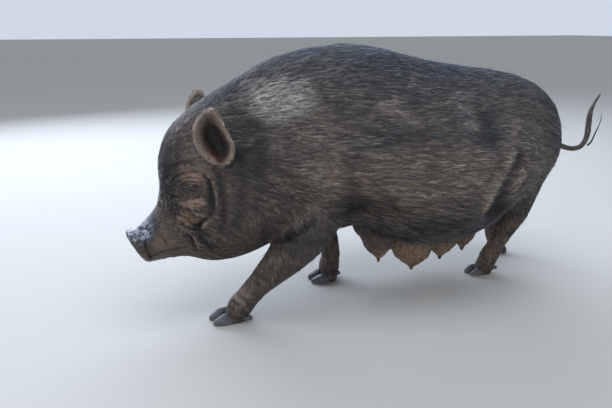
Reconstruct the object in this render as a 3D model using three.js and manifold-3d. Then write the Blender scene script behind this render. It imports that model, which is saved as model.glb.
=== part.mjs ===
// A standing pot-bellied sow, life size, as a still model.
// Millimetres, +Z up. The sow faces -X, so her left side is towards -Y.
// The flesh is lofted from named cross-sections, then parted with thin cuts.
// The origin is the middle of her footprint, on the floor.
import * as THREE from 'three';
import Module from 'manifold-3d';
import { mergeVertices } from 'three/addons/utils/BufferGeometryUtils.js';

const wasm = await Module();
wasm.setup();

// ---------------------------------------------------------------- driving dimensions
const withersHeight = 505; // top of the back over the front legs
const headSlope = 30; // degrees that the head hangs below the level
const snoutAt = { x: -508.5, z: 151 }; // middle of the snout disc
const gap = 0.35; // cut between neighbouring solids
const eyeRadius = 12;
const nostrilSize = { depth: 13, halfWidth: 6.5, halfHeight: 9, apart: 31 };
const clawLength = 40;
const clawHeight = 23;
const clawHalfWidth = 12;
const hindClawSize = 0.82; // of a front claw
const dewclawSize = 0.5; // of a claw
const dewclawInset = 11; // ahead of the back of the fetlock
const dewclawDrop = 13; // from there down to its sole
const teatLength = 14;
const tailRadius = 8;
const reach = 2000; // larger than the sow, for cutting blocks

// ---------------------------------------------------------------- solids
const radians = THREE.MathUtils.degToRad;

function solidOf(geometry) {
  const bare = geometry.clone().deleteAttribute('normal').deleteAttribute('uv');
  const merged = mergeVertices(bare, 1e-3);
  return new wasm.Manifold(new wasm.Mesh({
    numProp: 3,
    vertProperties: merged.attributes.position.array,
    triVerts: new Uint32Array(merged.index.array),
  }));
}

function geometryOf(solid) {
  const mesh = solid.getMesh();
  const geometry = new THREE.BufferGeometry();
  geometry.setAttribute('position', new THREE.BufferAttribute(mesh.vertProperties, 3));
  geometry.setIndex(new THREE.BufferAttribute(mesh.triVerts, 1));
  geometry.computeVertexNormals();
  return geometry;
}

// A smooth curve through the same property of every station, at s from 0 to 1.
function along(stations, key, s) {
  const last = stations.length - 1;
  const i = Math.min(Math.floor(s * last), last - 1);
  const t = s * last - i;
  const value = (k) => stations[Math.max(0, Math.min(last, k))][key];
  const [a, b, c, d] = [value(i - 1), value(i), value(i + 1), value(i + 2)];
  return b + 0.5 * t * (c - a + t * (2 * a - 5 * b + 4 * c - d + t * (3 * (b - c) + d - a)));
}

const power = (v, n) => Math.sign(v) * Math.abs(v) ** (2 / n);

// A closed body through oval stations. Each station is centred on its widest line and leans back
// by `tilt` degrees: `up` and `down` are its reach from that line, `half` its half width,
// `crown` and `keel` how square it is above and below (2 is an ellipse).
function loft(stations, rings, sides, grow = 0) {
  const filled = stations.map((s) => ({ y: 0, tilt: 0, crown: 2, keel: 2, ...s }));
  const geometry = new THREE.CylinderGeometry(1, 1, 1, sides, rings);
  const position = geometry.attributes.position;
  // Bodies that run on along their own axis are mirrored, so that every face looks outwards.
  const [first, last] = [filled[0], filled.at(-1)];
  const slope = radians(filled[Math.floor(filled.length / 2)].tilt);
  const onward = (last.x - first.x) * Math.cos(slope) + (last.z - first.z) * Math.sin(slope);
  const way = onward > 0 ? 1 : -1;
  for (let i = 0; i < position.count; i++) {
    const s = 0.5 - position.getY(i);
    const at = (key) => along(filled, key, THREE.MathUtils.clamp(s, 0, 1));
    const rim = Math.hypot(position.getX(i), position.getZ(i)) > 0.5 ? 1 : 0;
    const angle = Math.atan2(position.getX(i), position.getZ(i));
    const [side, rise] = [Math.cos(angle), Math.sin(angle)];
    const square = at(rise > 0 ? 'crown' : 'keel');
    const across = -way * rim * (at('half') + grow) * power(side, square);
    const lift = rim * (at(rise > 0 ? 'up' : 'down') + grow) * power(rise, square);
    const lean = radians(at('tilt'));
    const end = way * (s < 0.001 ? -grow : s > 0.999 ? grow : 0);
    position.setXYZ(
      i,
      at('x') - lift * Math.sin(lean) + end * Math.cos(lean),
      at('y') + across,
      at('z') + lift * Math.cos(lean) + end * Math.sin(lean),
    );
  }
  return solidOf(geometry);
}

// The same body twice: as it is, and grown by the gap for cutting its neighbours.
const fitted = (stations, rings, sides) => ({
  solid: loft(stations, rings, sides),
  cutter: loft(stations, rings, sides, gap),
});

const joined = (bodies, key) => bodies.map((b) => b[key]).reduce((a, b) => a.add(b));

// Everything past a cut, towards `way` (-1 is the head's side, 1 the tail's).
function past(at, tilt, way) {
  const block = new THREE.BoxGeometry(reach, 2 * reach, 2 * reach);
  block.translate(way * (reach + gap) / 2, 0, 0);
  block.rotateY(-radians(tilt));
  block.translate(at.x, 0, at.z);
  return solidOf(block);
}

const floorBlock = (() => {
  const block = new THREE.BoxGeometry(2 * reach, 2 * reach, reach);
  block.translate(0, 0, -reach / 2);
  return solidOf(block);
})();

// ---------------------------------------------------------------- head, neck and trunk
// A station of the head: `t` runs back from the snout disc along the head's own axis,
// and top, wide and bottom are heights above that axis.
function headStation({ t, top, wide, bottom, half, ...shape }) {
  const lean = radians(headSlope);
  return {
    x: snoutAt.x + t * Math.cos(lean) - wide * Math.sin(lean),
    z: snoutAt.z + t * Math.sin(lean) + wide * Math.cos(lean),
    tilt: headSlope, up: top - wide, down: wide - bottom, half, ...shape,
  };
}

// A station of the neck or trunk, between its top and bottom lines.
function trunkStation({ topX, top, bottomX = topX, bottom, wide, half, ...shape }) {
  const length = Math.hypot(topX - bottomX, top - bottom);
  const share = (wide - bottom) / (top - bottom);
  return {
    x: bottomX + (topX - bottomX) * share,
    z: wide,
    tilt: THREE.MathUtils.radToDeg(Math.atan2(bottomX - topX, top - bottom)),
    up: length * (1 - share), down: length * share, half, ...shape,
  };
}

const bodyStations = [
  ...[
    { t: -4, top: 31, wide: -2, bottom: -33, half: 30 },
    { t: 3, top: 36, wide: -1, bottom: -39, half: 35 },
    { t: 10, top: 33, wide: -1, bottom: -43, half: 32 },
    { t: 24, top: 30, wide: -3, bottom: -50, half: 29 },
    { t: 44, top: 34, wide: -7, bottom: -60, half: 35 },
    { t: 63, top: 39, wide: -12, bottom: -71, half: 44 },
    { t: 80, top: 50, wide: -17, bottom: -92, half: 56, crown: 2.1, keel: 2.1 },
    { t: 98, top: 69, wide: -16, bottom: -107, half: 70, crown: 2.2, keel: 2.2 },
    { t: 116, top: 104, wide: -14, bottom: -116, half: 80, crown: 2.3, keel: 2.3 },
    { t: 138, top: 129, wide: -12, bottom: -126, half: 89, crown: 2.4, keel: 2.3 },
    { t: 168, top: 148, wide: -12, bottom: -133, half: 100, crown: 2.3, keel: 2.3 },
    { t: 205, top: 156, wide: -12, bottom: -137, half: 110, crown: 2.2, keel: 2.3 },
    { t: 250, top: 160, wide: -6, bottom: -138, half: 122, crown: 2.1, keel: 2.3 },
  ].map(headStation),
  ...[
    { topX: -322, top: 441, bottomX: -190, bottom: 144, wide: 290, half: 134, keel: 2.3 },
    { topX: -262, top: 475, bottomX: -150, bottom: 144, wide: 288, half: 145, keel: 2.3 },
    { topX: -200, top: 494, bottomX: -120, bottom: 150, wide: 285, half: 154, keel: 2.2 },
    { topX: -140, top: 503, bottomX: -88, bottom: 152, wide: 280, half: 161, keel: 2.2 },
    { topX: -80, top: withersHeight, bottomX: -46, bottom: 130, wide: 272, half: 168, keel: 2.3 },
    { topX: -15, top: 493, bottomX: 8, bottom: 108, wide: 262, half: 175, keel: 2.4 },
    { topX: 55, top: 475, bottom: 99, wide: 255, half: 180, keel: 2.4 },
    { topX: 120, top: 464, bottom: 98, wide: 252, half: 181, keel: 2.4 },
    { topX: 180, top: 456, bottom: 114, wide: 256, half: 176, keel: 2.3 },
    { topX: 236, top: 449, bottom: 148, wide: 270, half: 162, keel: 2.2 },
    { topX: 288, top: 438, bottom: 180, wide: 288, half: 144 },
    { topX: 330, top: 422, bottom: 200, wide: 300, half: 121 },
    { topX: 366, top: 397, bottom: 224, wide: 303, half: 90 },
    { topX: 392, top: 364, bottom: 255, wide: 302, half: 54 },
    { topX: 403, top: 324, bottom: 288, wide: 302, half: 14 },
  ].map(trunkStation),
];
const body = fitted(bodyStations, 42, 24);

// Left and right: -1 is her left, towards -Y.
const sides = { left: -1, right: 1 };

// The muscle of each shoulder and ham stands a little proud of the trunk.
const shoulder = (side) => fitted([
  { x: -238, y: side * 84, z: 190, tilt: 40, up: 12, down: 12, half: 8 },
  { x: -222, y: side * 94, z: 214, tilt: 48, up: 46, down: 44, half: 36 },
  { x: -196, y: side * 100, z: 256, tilt: 58, up: 60, down: 60, half: 50 },
  { x: -168, y: side * 104, z: 310, tilt: 66, up: 64, down: 62, half: 53 },
  { x: -146, y: side * 94, z: 365, tilt: 74, up: 54, down: 52, half: 46 },
  { x: -132, y: side * 64, z: 410, tilt: 80, up: 24, down: 24, half: 16 },
], 9, 14);

const ham = (side) => fitted([
  { x: 280, y: side * 50, z: 398, tilt: 90, up: 24, down: 20, half: 14 },
  { x: 286, y: side * 80, z: 352, tilt: 90, up: 74, down: 56, half: 50 },
  { x: 286, y: side * 92, z: 290, tilt: 90, up: 88, down: 61, half: 56 },
  { x: 284, y: side * 93, z: 240, tilt: 84, up: 76, down: 36, half: 46 },
  { x: 278, y: side * 84, z: 205, tilt: 80, up: 28, down: 14, half: 20 },
], 9, 14);

const muscles = Object.values(sides).flatMap((side) => [shoulder(side), ham(side)]);
const flesh = {
  solid: joined([body, ...muscles], 'solid'),
  cutter: joined([body, ...muscles], 'cutter'),
};

// The udder hangs in two rows of glands, each drawn down to a teat. The right row sits a little
// further back than the left.
const glands = [
  { x: -39, out: 46, bottom: 80, radius: 40 },
  { x: 36, out: 52, bottom: 52, radius: 48 },
  { x: 109, out: 47, bottom: 64, radius: 42 },
  { x: 166, out: 44, bottom: 74, radius: 34 },
];
const rightRowBack = 22;

function gland({ x, out, bottom, radius }, side) {
  const ring = (above, r) => ({
    x: x + (side > 0 ? rightRowBack : 0) - above * 0.06, y: side * out, z: bottom + above,
    tilt: 90, up: r, down: r, half: r,
  });
  return loft([
    ring(72, radius * 0.9),
    ring(48, radius),
    ring(24, radius * 0.8),
    ring(8, radius * 0.42),
    ring(-1, 7.5),
    ring(-teatLength * 0.6, 5.5),
    ring(-teatLength, 4.5),
  ], 6, 8);
}

const udderRow = (side) => glands.map((g) => gland(g, side)).reduce((a, b) => a.add(b))
  .subtract(flesh.cutter);

// ---------------------------------------------------------------- eyes
const eyeAt = (side) => ({ x: -417, y: side * 73.5, z: 269 });

function eyeBall(radius) {
  return new THREE.SphereGeometry(radius, 12, 6);
}

function socket(side) {
  const { x, y, z } = eyeAt(side);
  return solidOf(eyeBall(eyeRadius + gap).translate(x, y, z));
}

// The two nostrils are blind hollows in the snout disc.
function nostril(side) {
  const lean = radians(headSlope);
  const hollow = new THREE.SphereGeometry(1, 8, 5);
  hollow.scale(nostrilSize.depth, nostrilSize.halfWidth, nostrilSize.halfHeight);
  hollow.rotateX(side * radians(18));
  hollow.rotateY(-lean);
  const inDisc = -4; // along the head from the middle of the disc
  const x = snoutAt.x + inDisc * Math.cos(lean);
  const z = snoutAt.z + inDisc * Math.sin(lean) + 2;
  hollow.translate(x, side * nostrilSize.apart / 2, z);
  return solidOf(hollow);
}

// ---------------------------------------------------------------- legs
// Each leg runs down through the fetlock to the heel. `front` and `back` are its reach ahead of
// and behind its line.
const bone = ({ x, y, z, tilt, front, back, half }) => ({
  x, y, z, tilt, up: front, down: back, half, crown: 2.1, keel: 2.1,
});

const legs = {
  foreleg_left: {
    side: -1, splitAt: 4,
    line: [
      { x: -196, y: -106, z: 214, tilt: 50, front: 52, back: 52, half: 46 },
      { x: -224, y: -104, z: 172, tilt: 48, front: 49, back: 50, half: 44 },
      { x: -254, y: -99, z: 134, tilt: 45, front: 39, back: 40, half: 36 },
      { x: -286, y: -90, z: 98, tilt: 44, front: 30, back: 29, half: 29 },
      { x: -311, y: -80, z: 70, tilt: 44, front: 23, back: 23, half: 24 },
      { x: -331, y: -70, z: 47, tilt: 48, front: 18, back: 28, half: 22 },
      { x: -346, y: -62, z: 27, tilt: 62, front: 17, back: 32, half: 23 },
      { x: -350, y: -56, z: -2, tilt: 90, front: 14, back: 24, half: 20 },
    ],
    foot: { x: -371, y: -53, turn: 6, size: 1 },
  },
  foreleg_right: {
    side: 1, splitAt: 4,
    line: [
      { x: -148, y: 106, z: 214, tilt: 74, front: 52, back: 52, half: 44 },
      { x: -131, y: 100, z: 168, tilt: 76, front: 46, back: 44, half: 42 },
      { x: -114, y: 90, z: 130, tilt: 80, front: 34, back: 33, half: 32 },
      { x: -101, y: 80, z: 95, tilt: 88, front: 26, back: 26, half: 25 },
      { x: -96, y: 72, z: 66, tilt: 90, front: 21, back: 22, half: 21 },
      { x: -100, y: 65, z: 44, tilt: 84, front: 19, back: 24, half: 20 },
      { x: -107, y: 61, z: 26, tilt: 80, front: 20, back: 28, half: 22 },
      { x: -108, y: 58, z: -2, tilt: 90, front: 14, back: 22, half: 20 },
    ],
    foot: { x: -130, y: 56, turn: -4, size: 1 },
  },
  hindleg_left: {
    side: -1, splitAt: 4,
    line: [
      { x: 276, y: -96, z: 262, tilt: 96, front: 70, back: 52, half: 44 },
      { x: 272, y: -93, z: 222, tilt: 90, front: 62, back: 38, half: 41 },
      { x: 266, y: -88, z: 180, tilt: 80, front: 44, back: 32, half: 35 },
      { x: 264, y: -80, z: 144, tilt: 66, front: 30, back: 29, half: 28 },
      { x: 251, y: -66, z: 100, tilt: 66, front: 18, back: 19, half: 23 },
      { x: 241, y: -54, z: 66, tilt: 68, front: 14, back: 23, half: 20 },
      { x: 231, y: -43, z: 32, tilt: 70, front: 16, back: 28, half: 21 },
      { x: 229, y: -37, z: -2, tilt: 90, front: 14, back: 21, half: 18 },
    ],
    foot: { x: 210, y: -34, turn: 4, size: hindClawSize },
  },
  hindleg_right: {
    side: 1, splitAt: 4,
    line: [
      { x: 288, y: 96, z: 262, tilt: 98, front: 70, back: 62, half: 48 },
      { x: 294, y: 92, z: 222, tilt: 98, front: 60, back: 54, half: 46 },
      { x: 302, y: 88, z: 180, tilt: 92, front: 42, back: 42, half: 37 },
      { x: 322, y: 80, z: 138, tilt: 84, front: 29, back: 32, half: 29 },
      { x: 328, y: 72, z: 98, tilt: 80, front: 20, back: 23, half: 23 },
      { x: 330, y: 67, z: 66, tilt: 86, front: 17, back: 20, half: 20 },
      { x: 337, y: 63, z: 32, tilt: 86, front: 18, back: 23, half: 21 },
      { x: 348, y: 60, z: -2, tilt: 90, front: 14, back: 16, half: 18 },
    ],
    foot: { x: 336, y: 59, turn: -4, size: hindClawSize },
  },
};

// A claw: a wedge of horn with a flat sole, its toe towards -X.
function clawGeometry(length, height, half, facets, grow = 0) {
  const wedge = [
    { at: -0.5, top: 0.12, half: 0.2 },
    { at: -0.42, top: 0.24, half: 0.48 },
    { at: -0.2, top: 0.56, half: 0.84 },
    { at: 0.05, top: 0.86, half: 1 },
    { at: 0.3, top: 1, half: 0.92 },
    { at: 0.46, top: 0.66, half: 0.66 },
    { at: 0.5, top: 0.4, half: 0.4 },
  ].map((w) => ({
    x: w.at * length, y: 0, z: height * 0.3, tilt: 0, crown: 2.2, keel: 3.5,
    up: w.top * height * 0.7, down: height * 0.34, half: w.half * half,
  }));
  return geometryOf(loft(wedge, ...facets, grow));
}

// The four claws of a foot: two that bear its weight and two dewclaws behind the fetlock.
function clawsOf(name, { side, foot, line }) {
  const fetlock = line[6];
  const lean = radians(fetlock.tilt);
  const back = fetlock.back - dewclawInset;
  const heel = {
    x: fetlock.x + back * Math.sin(lean),
    y: fetlock.y,
    z: fetlock.z - back * Math.cos(lean) - dewclawDrop,
  };
  const cleft = 1.4; // half of the gap between the two claws
  const front = { size: foot.size, across: clawHalfWidth * foot.size + cleft };
  const claw = { ...front, at: { ...foot, z: 0 }, splay: 5, facets: [4, 8] };
  const small = foot.size * dewclawSize;
  const dewclaw = { size: small, across: 12.5, at: heel, splay: 12, facets: [3, 5] };
  const rows = [
    { end: 'outer_claw', way: side, ...claw },
    { end: 'inner_claw', way: -side, ...claw },
    { end: 'outer_dewclaw', way: side, ...dewclaw },
    { end: 'inner_dewclaw', way: -side, ...dewclaw },
  ];
  return rows.map(({ end, way, at, across, splay, size, facets }) => {
    const stand = new THREE.Group();
    stand.position.set(at.x, at.y, at.z);
    stand.rotation.z = radians(foot.turn);
    const mesh = new THREE.Mesh();
    mesh.position.set(0, way * across, 0);
    mesh.rotation.z = radians(way * splay);
    stand.add(mesh);
    stand.updateMatrixWorld(true);
    const shape = [clawLength * size, clawHeight * size, clawHalfWidth * size, facets];
    const place = (grow) => solidOf(clawGeometry(...shape, grow).applyMatrix4(mesh.matrixWorld));
    return { name: `${name}_${end}`, solid: place(0).subtract(floorBlock), cutter: place(gap) };
  });
}

function legPieces(name, leg) {
  const line = leg.line.map(bone);
  const whole = loft(line, 10, 10).subtract(flesh.cutter);
  const claws = clawsOf(name, leg);
  const limb = whole.subtract(joined(claws, 'cutter')).subtract(floorBlock);
  const cut = line[leg.splitAt];
  const above = past(cut, cut.tilt, 1);
  const below = past(cut, cut.tilt, -1);
  return { limb, claws, above, below };
}

// ---------------------------------------------------------------- ears
// A cupped ear: an upright leaf, hollowed from its open side.
const ears = {
  left: { side: -1, x: -380, y: -101, z: 317, leanBack: 0, flare: 14, turn: -12 },
  right: { side: 1, x: -353, y: 101, z: 323, leanBack: 0, flare: 14, turn: -12 },
};
const earHeight = 96;

function earSolid({ side, x, y, z, leanBack, flare, turn }, grow = 0) {
  // Built upright over the origin: its width along X, its open side towards -Y.
  const outline = [
    { rise: -0.03, shift: 9, half: 14, thick: 9 },
    { rise: 0.04, shift: 9, half: 23, thick: 14 },
    { rise: 0.16, shift: 6, half: 29, thick: 17 },
    { rise: 0.32, shift: 1, half: 33, thick: 17 },
    { rise: 0.5, shift: -4, half: 31, thick: 15 },
    { rise: 0.72, shift: -8, half: 25, thick: 12 },
    { rise: 0.9, shift: -5, half: 17, thick: 8 },
    { rise: 1, shift: -2, half: 7, thick: 4 },
  ];
  const leaf = (inset) => outline.map(({ rise, shift, half, thick }) => ({
    x: shift, y: inset ? -thick * 0.75 : 0, z: rise * earHeight, tilt: 90,
    up: Math.max(half - inset, 2), down: Math.max(half - inset, 2), half: thick - inset * 0.45,
  }));
  const full = loft(leaf(0), 9, 10, grow);
  const hollow = grow ? full : full.subtract(loft(leaf(5).slice(1, -1), 7, 8));
  const pose = new THREE.Matrix4().makeTranslation(x, y, z)
    .multiply(new THREE.Matrix4().makeScale(1, -side, 1))
    .multiply(new THREE.Matrix4().makeRotationFromEuler(
      new THREE.Euler(radians(flare), radians(leanBack), radians(turn), 'ZYX'),
    ));
  const geometry = geometryOf(hollow).applyMatrix4(pose);
  if (side > 0) geometry.index.array.reverse();
  return solidOf(geometry);
}

// ---------------------------------------------------------------- tail
const tailLine = [
  { x: 374, z: 290, tilt: -10, r: 1.6 },
  { x: 404, z: 284, tilt: -14, r: 1.3 },
  { x: 434, z: 274, tilt: -18, r: 1 },
  { x: 462, z: 264, tilt: -12, r: 0.9 },
  { x: 490, z: 258, tilt: 4, r: 0.85 },
  { x: 513, z: 263, tilt: 38, r: 0.85 },
  { x: 526, z: 284, tilt: 76, r: 0.95 },
  { x: 526, z: 310, tilt: 94, r: 1 },
  { x: 526, z: 338, tilt: 84, r: 0.85 },
  { x: 535, z: 362, tilt: 66, r: 0.6 },
  { x: 549, z: 386, tilt: 60, r: 0.22 },
].map(({ x, z, tilt, r }) => ({
  x, z, tilt, up: r * tailRadius, down: r * tailRadius, half: r * tailRadius,
}));
const tail = loft(tailLine, 18, 6).subtract(flesh.cutter);

// ---------------------------------------------------------------- parting the flesh
const alongHead = (t) => headStation({ t, top: 1, wide: 0, bottom: -1, half: 1 });
const cuts = {
  disc: { at: alongHead(13), tilt: headSlope },
  muzzle: { at: alongHead(72), tilt: headSlope },
  nape: { at: alongHead(232), tilt: headSlope },
  chest: { at: { x: -182, z: 300 }, tilt: 15 },
  waist: { at: { x: -40, z: 300 }, tilt: 0 },
  loin: { at: { x: 222, z: 300 }, tilt: 0 },
};
const order = ['disc', 'muzzle', 'nape', 'chest', 'waist', 'loin'];
const fleshNames = ['snout_disc', 'muzzle', 'head', 'neck', 'shoulders', 'belly', 'rump'];

function part(i) {
  const ahead = cuts[order[i - 1]];
  const behind = cuts[order[i]];
  let piece = flesh.solid;
  if (ahead) piece = piece.intersect(past(ahead.at, ahead.tilt, 1));
  if (behind) piece = piece.intersect(past(behind.at, behind.tilt, -1));
  return piece;
}

// ---------------------------------------------------------------- the sow
const finishes = {
  hide: new THREE.MeshStandardMaterial({ color: '#2b2725', roughness: 0.75 }),
  snout: new THREE.MeshStandardMaterial({ color: '#2a3038', roughness: 0.35 }),
  horn: new THREE.MeshStandardMaterial({ color: '#3b3f45', roughness: 0.5 }),
  eye: new THREE.MeshStandardMaterial({ color: '#120c08', roughness: 0.1 }),
};

const pig = new THREE.Group();

function addNode(name, geometry, material) {
  const mesh = new THREE.Mesh(geometry, material);
  mesh.name = name;
  pig.add(mesh);
  return mesh;
}

const earShapes = Object.entries(ears).map(([name, ear]) => ({
  name: `ear_${name}`, solid: earSolid(ear).subtract(flesh.cutter), cutter: earSolid(ear, gap),
}));

fleshNames.forEach((name, i) => {
  let piece = part(i);
  if (name === 'head') piece = piece.subtract(socket(-1)).subtract(socket(1));
  if (name === 'snout_disc') piece = piece.subtract(nostril(-1)).subtract(nostril(1));
  addNode(name, geometryOf(piece), name === 'snout_disc' ? finishes.snout : finishes.hide);
});
for (const { name, solid } of earShapes) addNode(name, geometryOf(solid), finishes.hide);
for (const [name, side] of Object.entries(sides)) {
  addNode(`udder_${name}`, geometryOf(udderRow(side)), finishes.hide);
}
for (const [name, side] of Object.entries(sides)) {
  const { x, y, z } = eyeAt(side);
  addNode(`eye_${name}`, eyeBall(eyeRadius), finishes.eye).position.set(x, y, z);
}
for (const [name, leg] of Object.entries(legs)) {
  const { limb, claws, above, below } = legPieces(name, leg);
  addNode(`${name}_upper`, geometryOf(limb.intersect(above)), finishes.hide);
  addNode(`${name}_lower`, geometryOf(limb.intersect(below)), finishes.hide);
  for (const claw of claws) addNode(claw.name, geometryOf(claw.solid), finishes.horn);
}
addNode('tail', geometryOf(tail), finishes.hide);

// The origin goes to the middle of the footprint.
const box = new THREE.Box3().setFromObject(pig);
const middle = box.getCenter(new THREE.Vector3());
pig.position.set(-middle.x, -middle.y, -box.min.z);

export default pig;
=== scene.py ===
# A pot-bellied sow, life size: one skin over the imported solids, then eyes, hooves and a coat of
# bristles. Metres, +Z up; she faces -X and her left side is towards -Y.
import math
import bmesh
import bpy
import numpy as np
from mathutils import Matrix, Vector
from mathutils.bvhtree import BVHTree
from mathutils.kdtree import KDTree


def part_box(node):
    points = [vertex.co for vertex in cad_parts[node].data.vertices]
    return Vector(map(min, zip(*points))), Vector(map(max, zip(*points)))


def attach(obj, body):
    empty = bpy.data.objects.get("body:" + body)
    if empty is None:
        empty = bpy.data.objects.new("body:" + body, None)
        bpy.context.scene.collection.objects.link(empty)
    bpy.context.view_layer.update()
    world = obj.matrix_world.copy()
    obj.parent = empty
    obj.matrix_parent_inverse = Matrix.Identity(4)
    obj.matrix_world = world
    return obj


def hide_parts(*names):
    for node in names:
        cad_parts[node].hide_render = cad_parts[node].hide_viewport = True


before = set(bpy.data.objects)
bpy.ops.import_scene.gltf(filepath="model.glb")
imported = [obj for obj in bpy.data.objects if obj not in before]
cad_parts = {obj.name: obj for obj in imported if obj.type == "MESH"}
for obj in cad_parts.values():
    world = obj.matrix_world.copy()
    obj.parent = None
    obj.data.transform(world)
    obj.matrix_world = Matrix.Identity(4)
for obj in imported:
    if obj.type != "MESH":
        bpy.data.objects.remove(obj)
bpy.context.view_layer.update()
mm = 0.001
scene = bpy.context.scene
chance = np.random.default_rng(7)


def linearColour(code):  # sRGB hex to linear
    parts = [int(code[i:i + 2], 16) / 255 for i in (1, 3, 5)]
    return tuple(c / 12.92 if c <= 0.04045 else ((c + 0.055) / 1.055) ** 2.4 for c in parts) + (1.0,)


def setInputs(tree, node, inputs):  # by value, hex colour, socket, or node for its first output
    for key, value in dict(inputs).items():
        socket = node.inputs[key]
        if isinstance(value, bpy.types.Node):
            value = value.outputs[0]
        if isinstance(value, bpy.types.NodeSocket):
            tree.links.new(value, socket)
        else:
            socket.default_value = linearColour(value) if isinstance(value, str) else value


def addNode(tree, kind, inputs=(), **settings):
    node = tree.nodes.new("ShaderNode" + kind)
    for key, value in settings.items():
        setattr(node, key, value)
    setInputs(tree, node, inputs)
    return node


# camera, floor and light
view = {
    "place": (-0.5964, -1.055, 0.535),
    "down": 16.743,  # degrees below the level
    "aside": 21.0,  # degrees from +Y towards +X
    "lens": 35.0,
}
studio = {
    "floor": "#a5a39e",
    "floorHalf": 25,
    "sky": "#dfe9f6",
    "skyStrength": 0.85,
    # name, place, looks at, width, height, watts, colour
    "lamps": [
        ("lampAbove", (-0.2, -0.4, 2.4), (0, 0, 0.3), 2.6, 1.6, 46, "#e9f1ff"),
        ("lampBehind", (-0.1, 1.9, 1.7), (0, 0, 0.4), 3.8, 1.2, 90, "#dbe8ff"),
        ("lampFront", (-2.3, -1.9, 1.4), (-0.3, 0, 0.25), 1.6, 1.6, 22, "#fff2e2"),
        ("lampRim", (-1.1, 2.5, 1.1), (-0.3, 0, 0.3), 1.8, 0.5, 34, "#e3edff"),
    ],
}
camera = bpy.data.objects.new("camera", bpy.data.cameras.new("camera"))
camera.data.lens = view["lens"]
camera.data.sensor_width = 36
camera.location = view["place"]
camera.rotation_euler = (math.radians(90 - view["down"]), 0, math.radians(-view["aside"]))
scene.collection.objects.link(camera)
scene.camera = camera

world = bpy.data.worlds.new("studioSky")
world.use_nodes = True
world.node_tree.nodes["Background"].inputs[0].default_value = linearColour(studio["sky"])
world.node_tree.nodes["Background"].inputs[1].default_value = studio["skyStrength"]
scene.world = world
scene.view_settings.view_transform = "Standard"
for name, place, target, width, height, watts, colour in studio["lamps"]:
    lamp = bpy.data.objects.new(name, bpy.data.lights.new(name, "AREA"))
    lamp.data.shape = "RECTANGLE"
    lamp.data.size, lamp.data.size_y = width, height
    lamp.data.energy = watts
    lamp.data.color = linearColour(colour)[:3]
    lamp.location = place
    lamp.rotation_euler = (Vector(target) - Vector(place)).to_track_quat("-Z", "Y").to_euler()
    scene.collection.objects.link(lamp)


def newMaterial(name):
    made = bpy.data.materials.new(name)
    made.use_nodes = True
    return made, made.node_tree, made.node_tree.nodes["Principled BSDF"]


def pieceFrom(bm, name, material, smooth=True):  # ends a bmesh as an object
    mesh = bpy.data.meshes.new(name)
    bm.to_mesh(mesh)
    bm.free()
    piece = bpy.data.objects.new(name, mesh)
    scene.collection.objects.link(piece)
    mesh.materials.append(material)
    mesh.polygons.foreach_set("use_smooth", [smooth] * len(mesh.polygons))
    return piece


# painted plaster floor: matt and even, so nothing draws the eye from the animal
floorPaint, tree, shader = newMaterial("mattFloorPaint")
setInputs(tree, shader, {"Base Color": studio["floor"], "Roughness": 0.9})
bm = bmesh.new()
bmesh.ops.create_grid(bm, x_segments=1, y_segments=1, size=studio["floorHalf"])
floor = pieceFrom(bm, "floor", floorPaint, smooth=False)
print("camera, floor and light")


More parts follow.
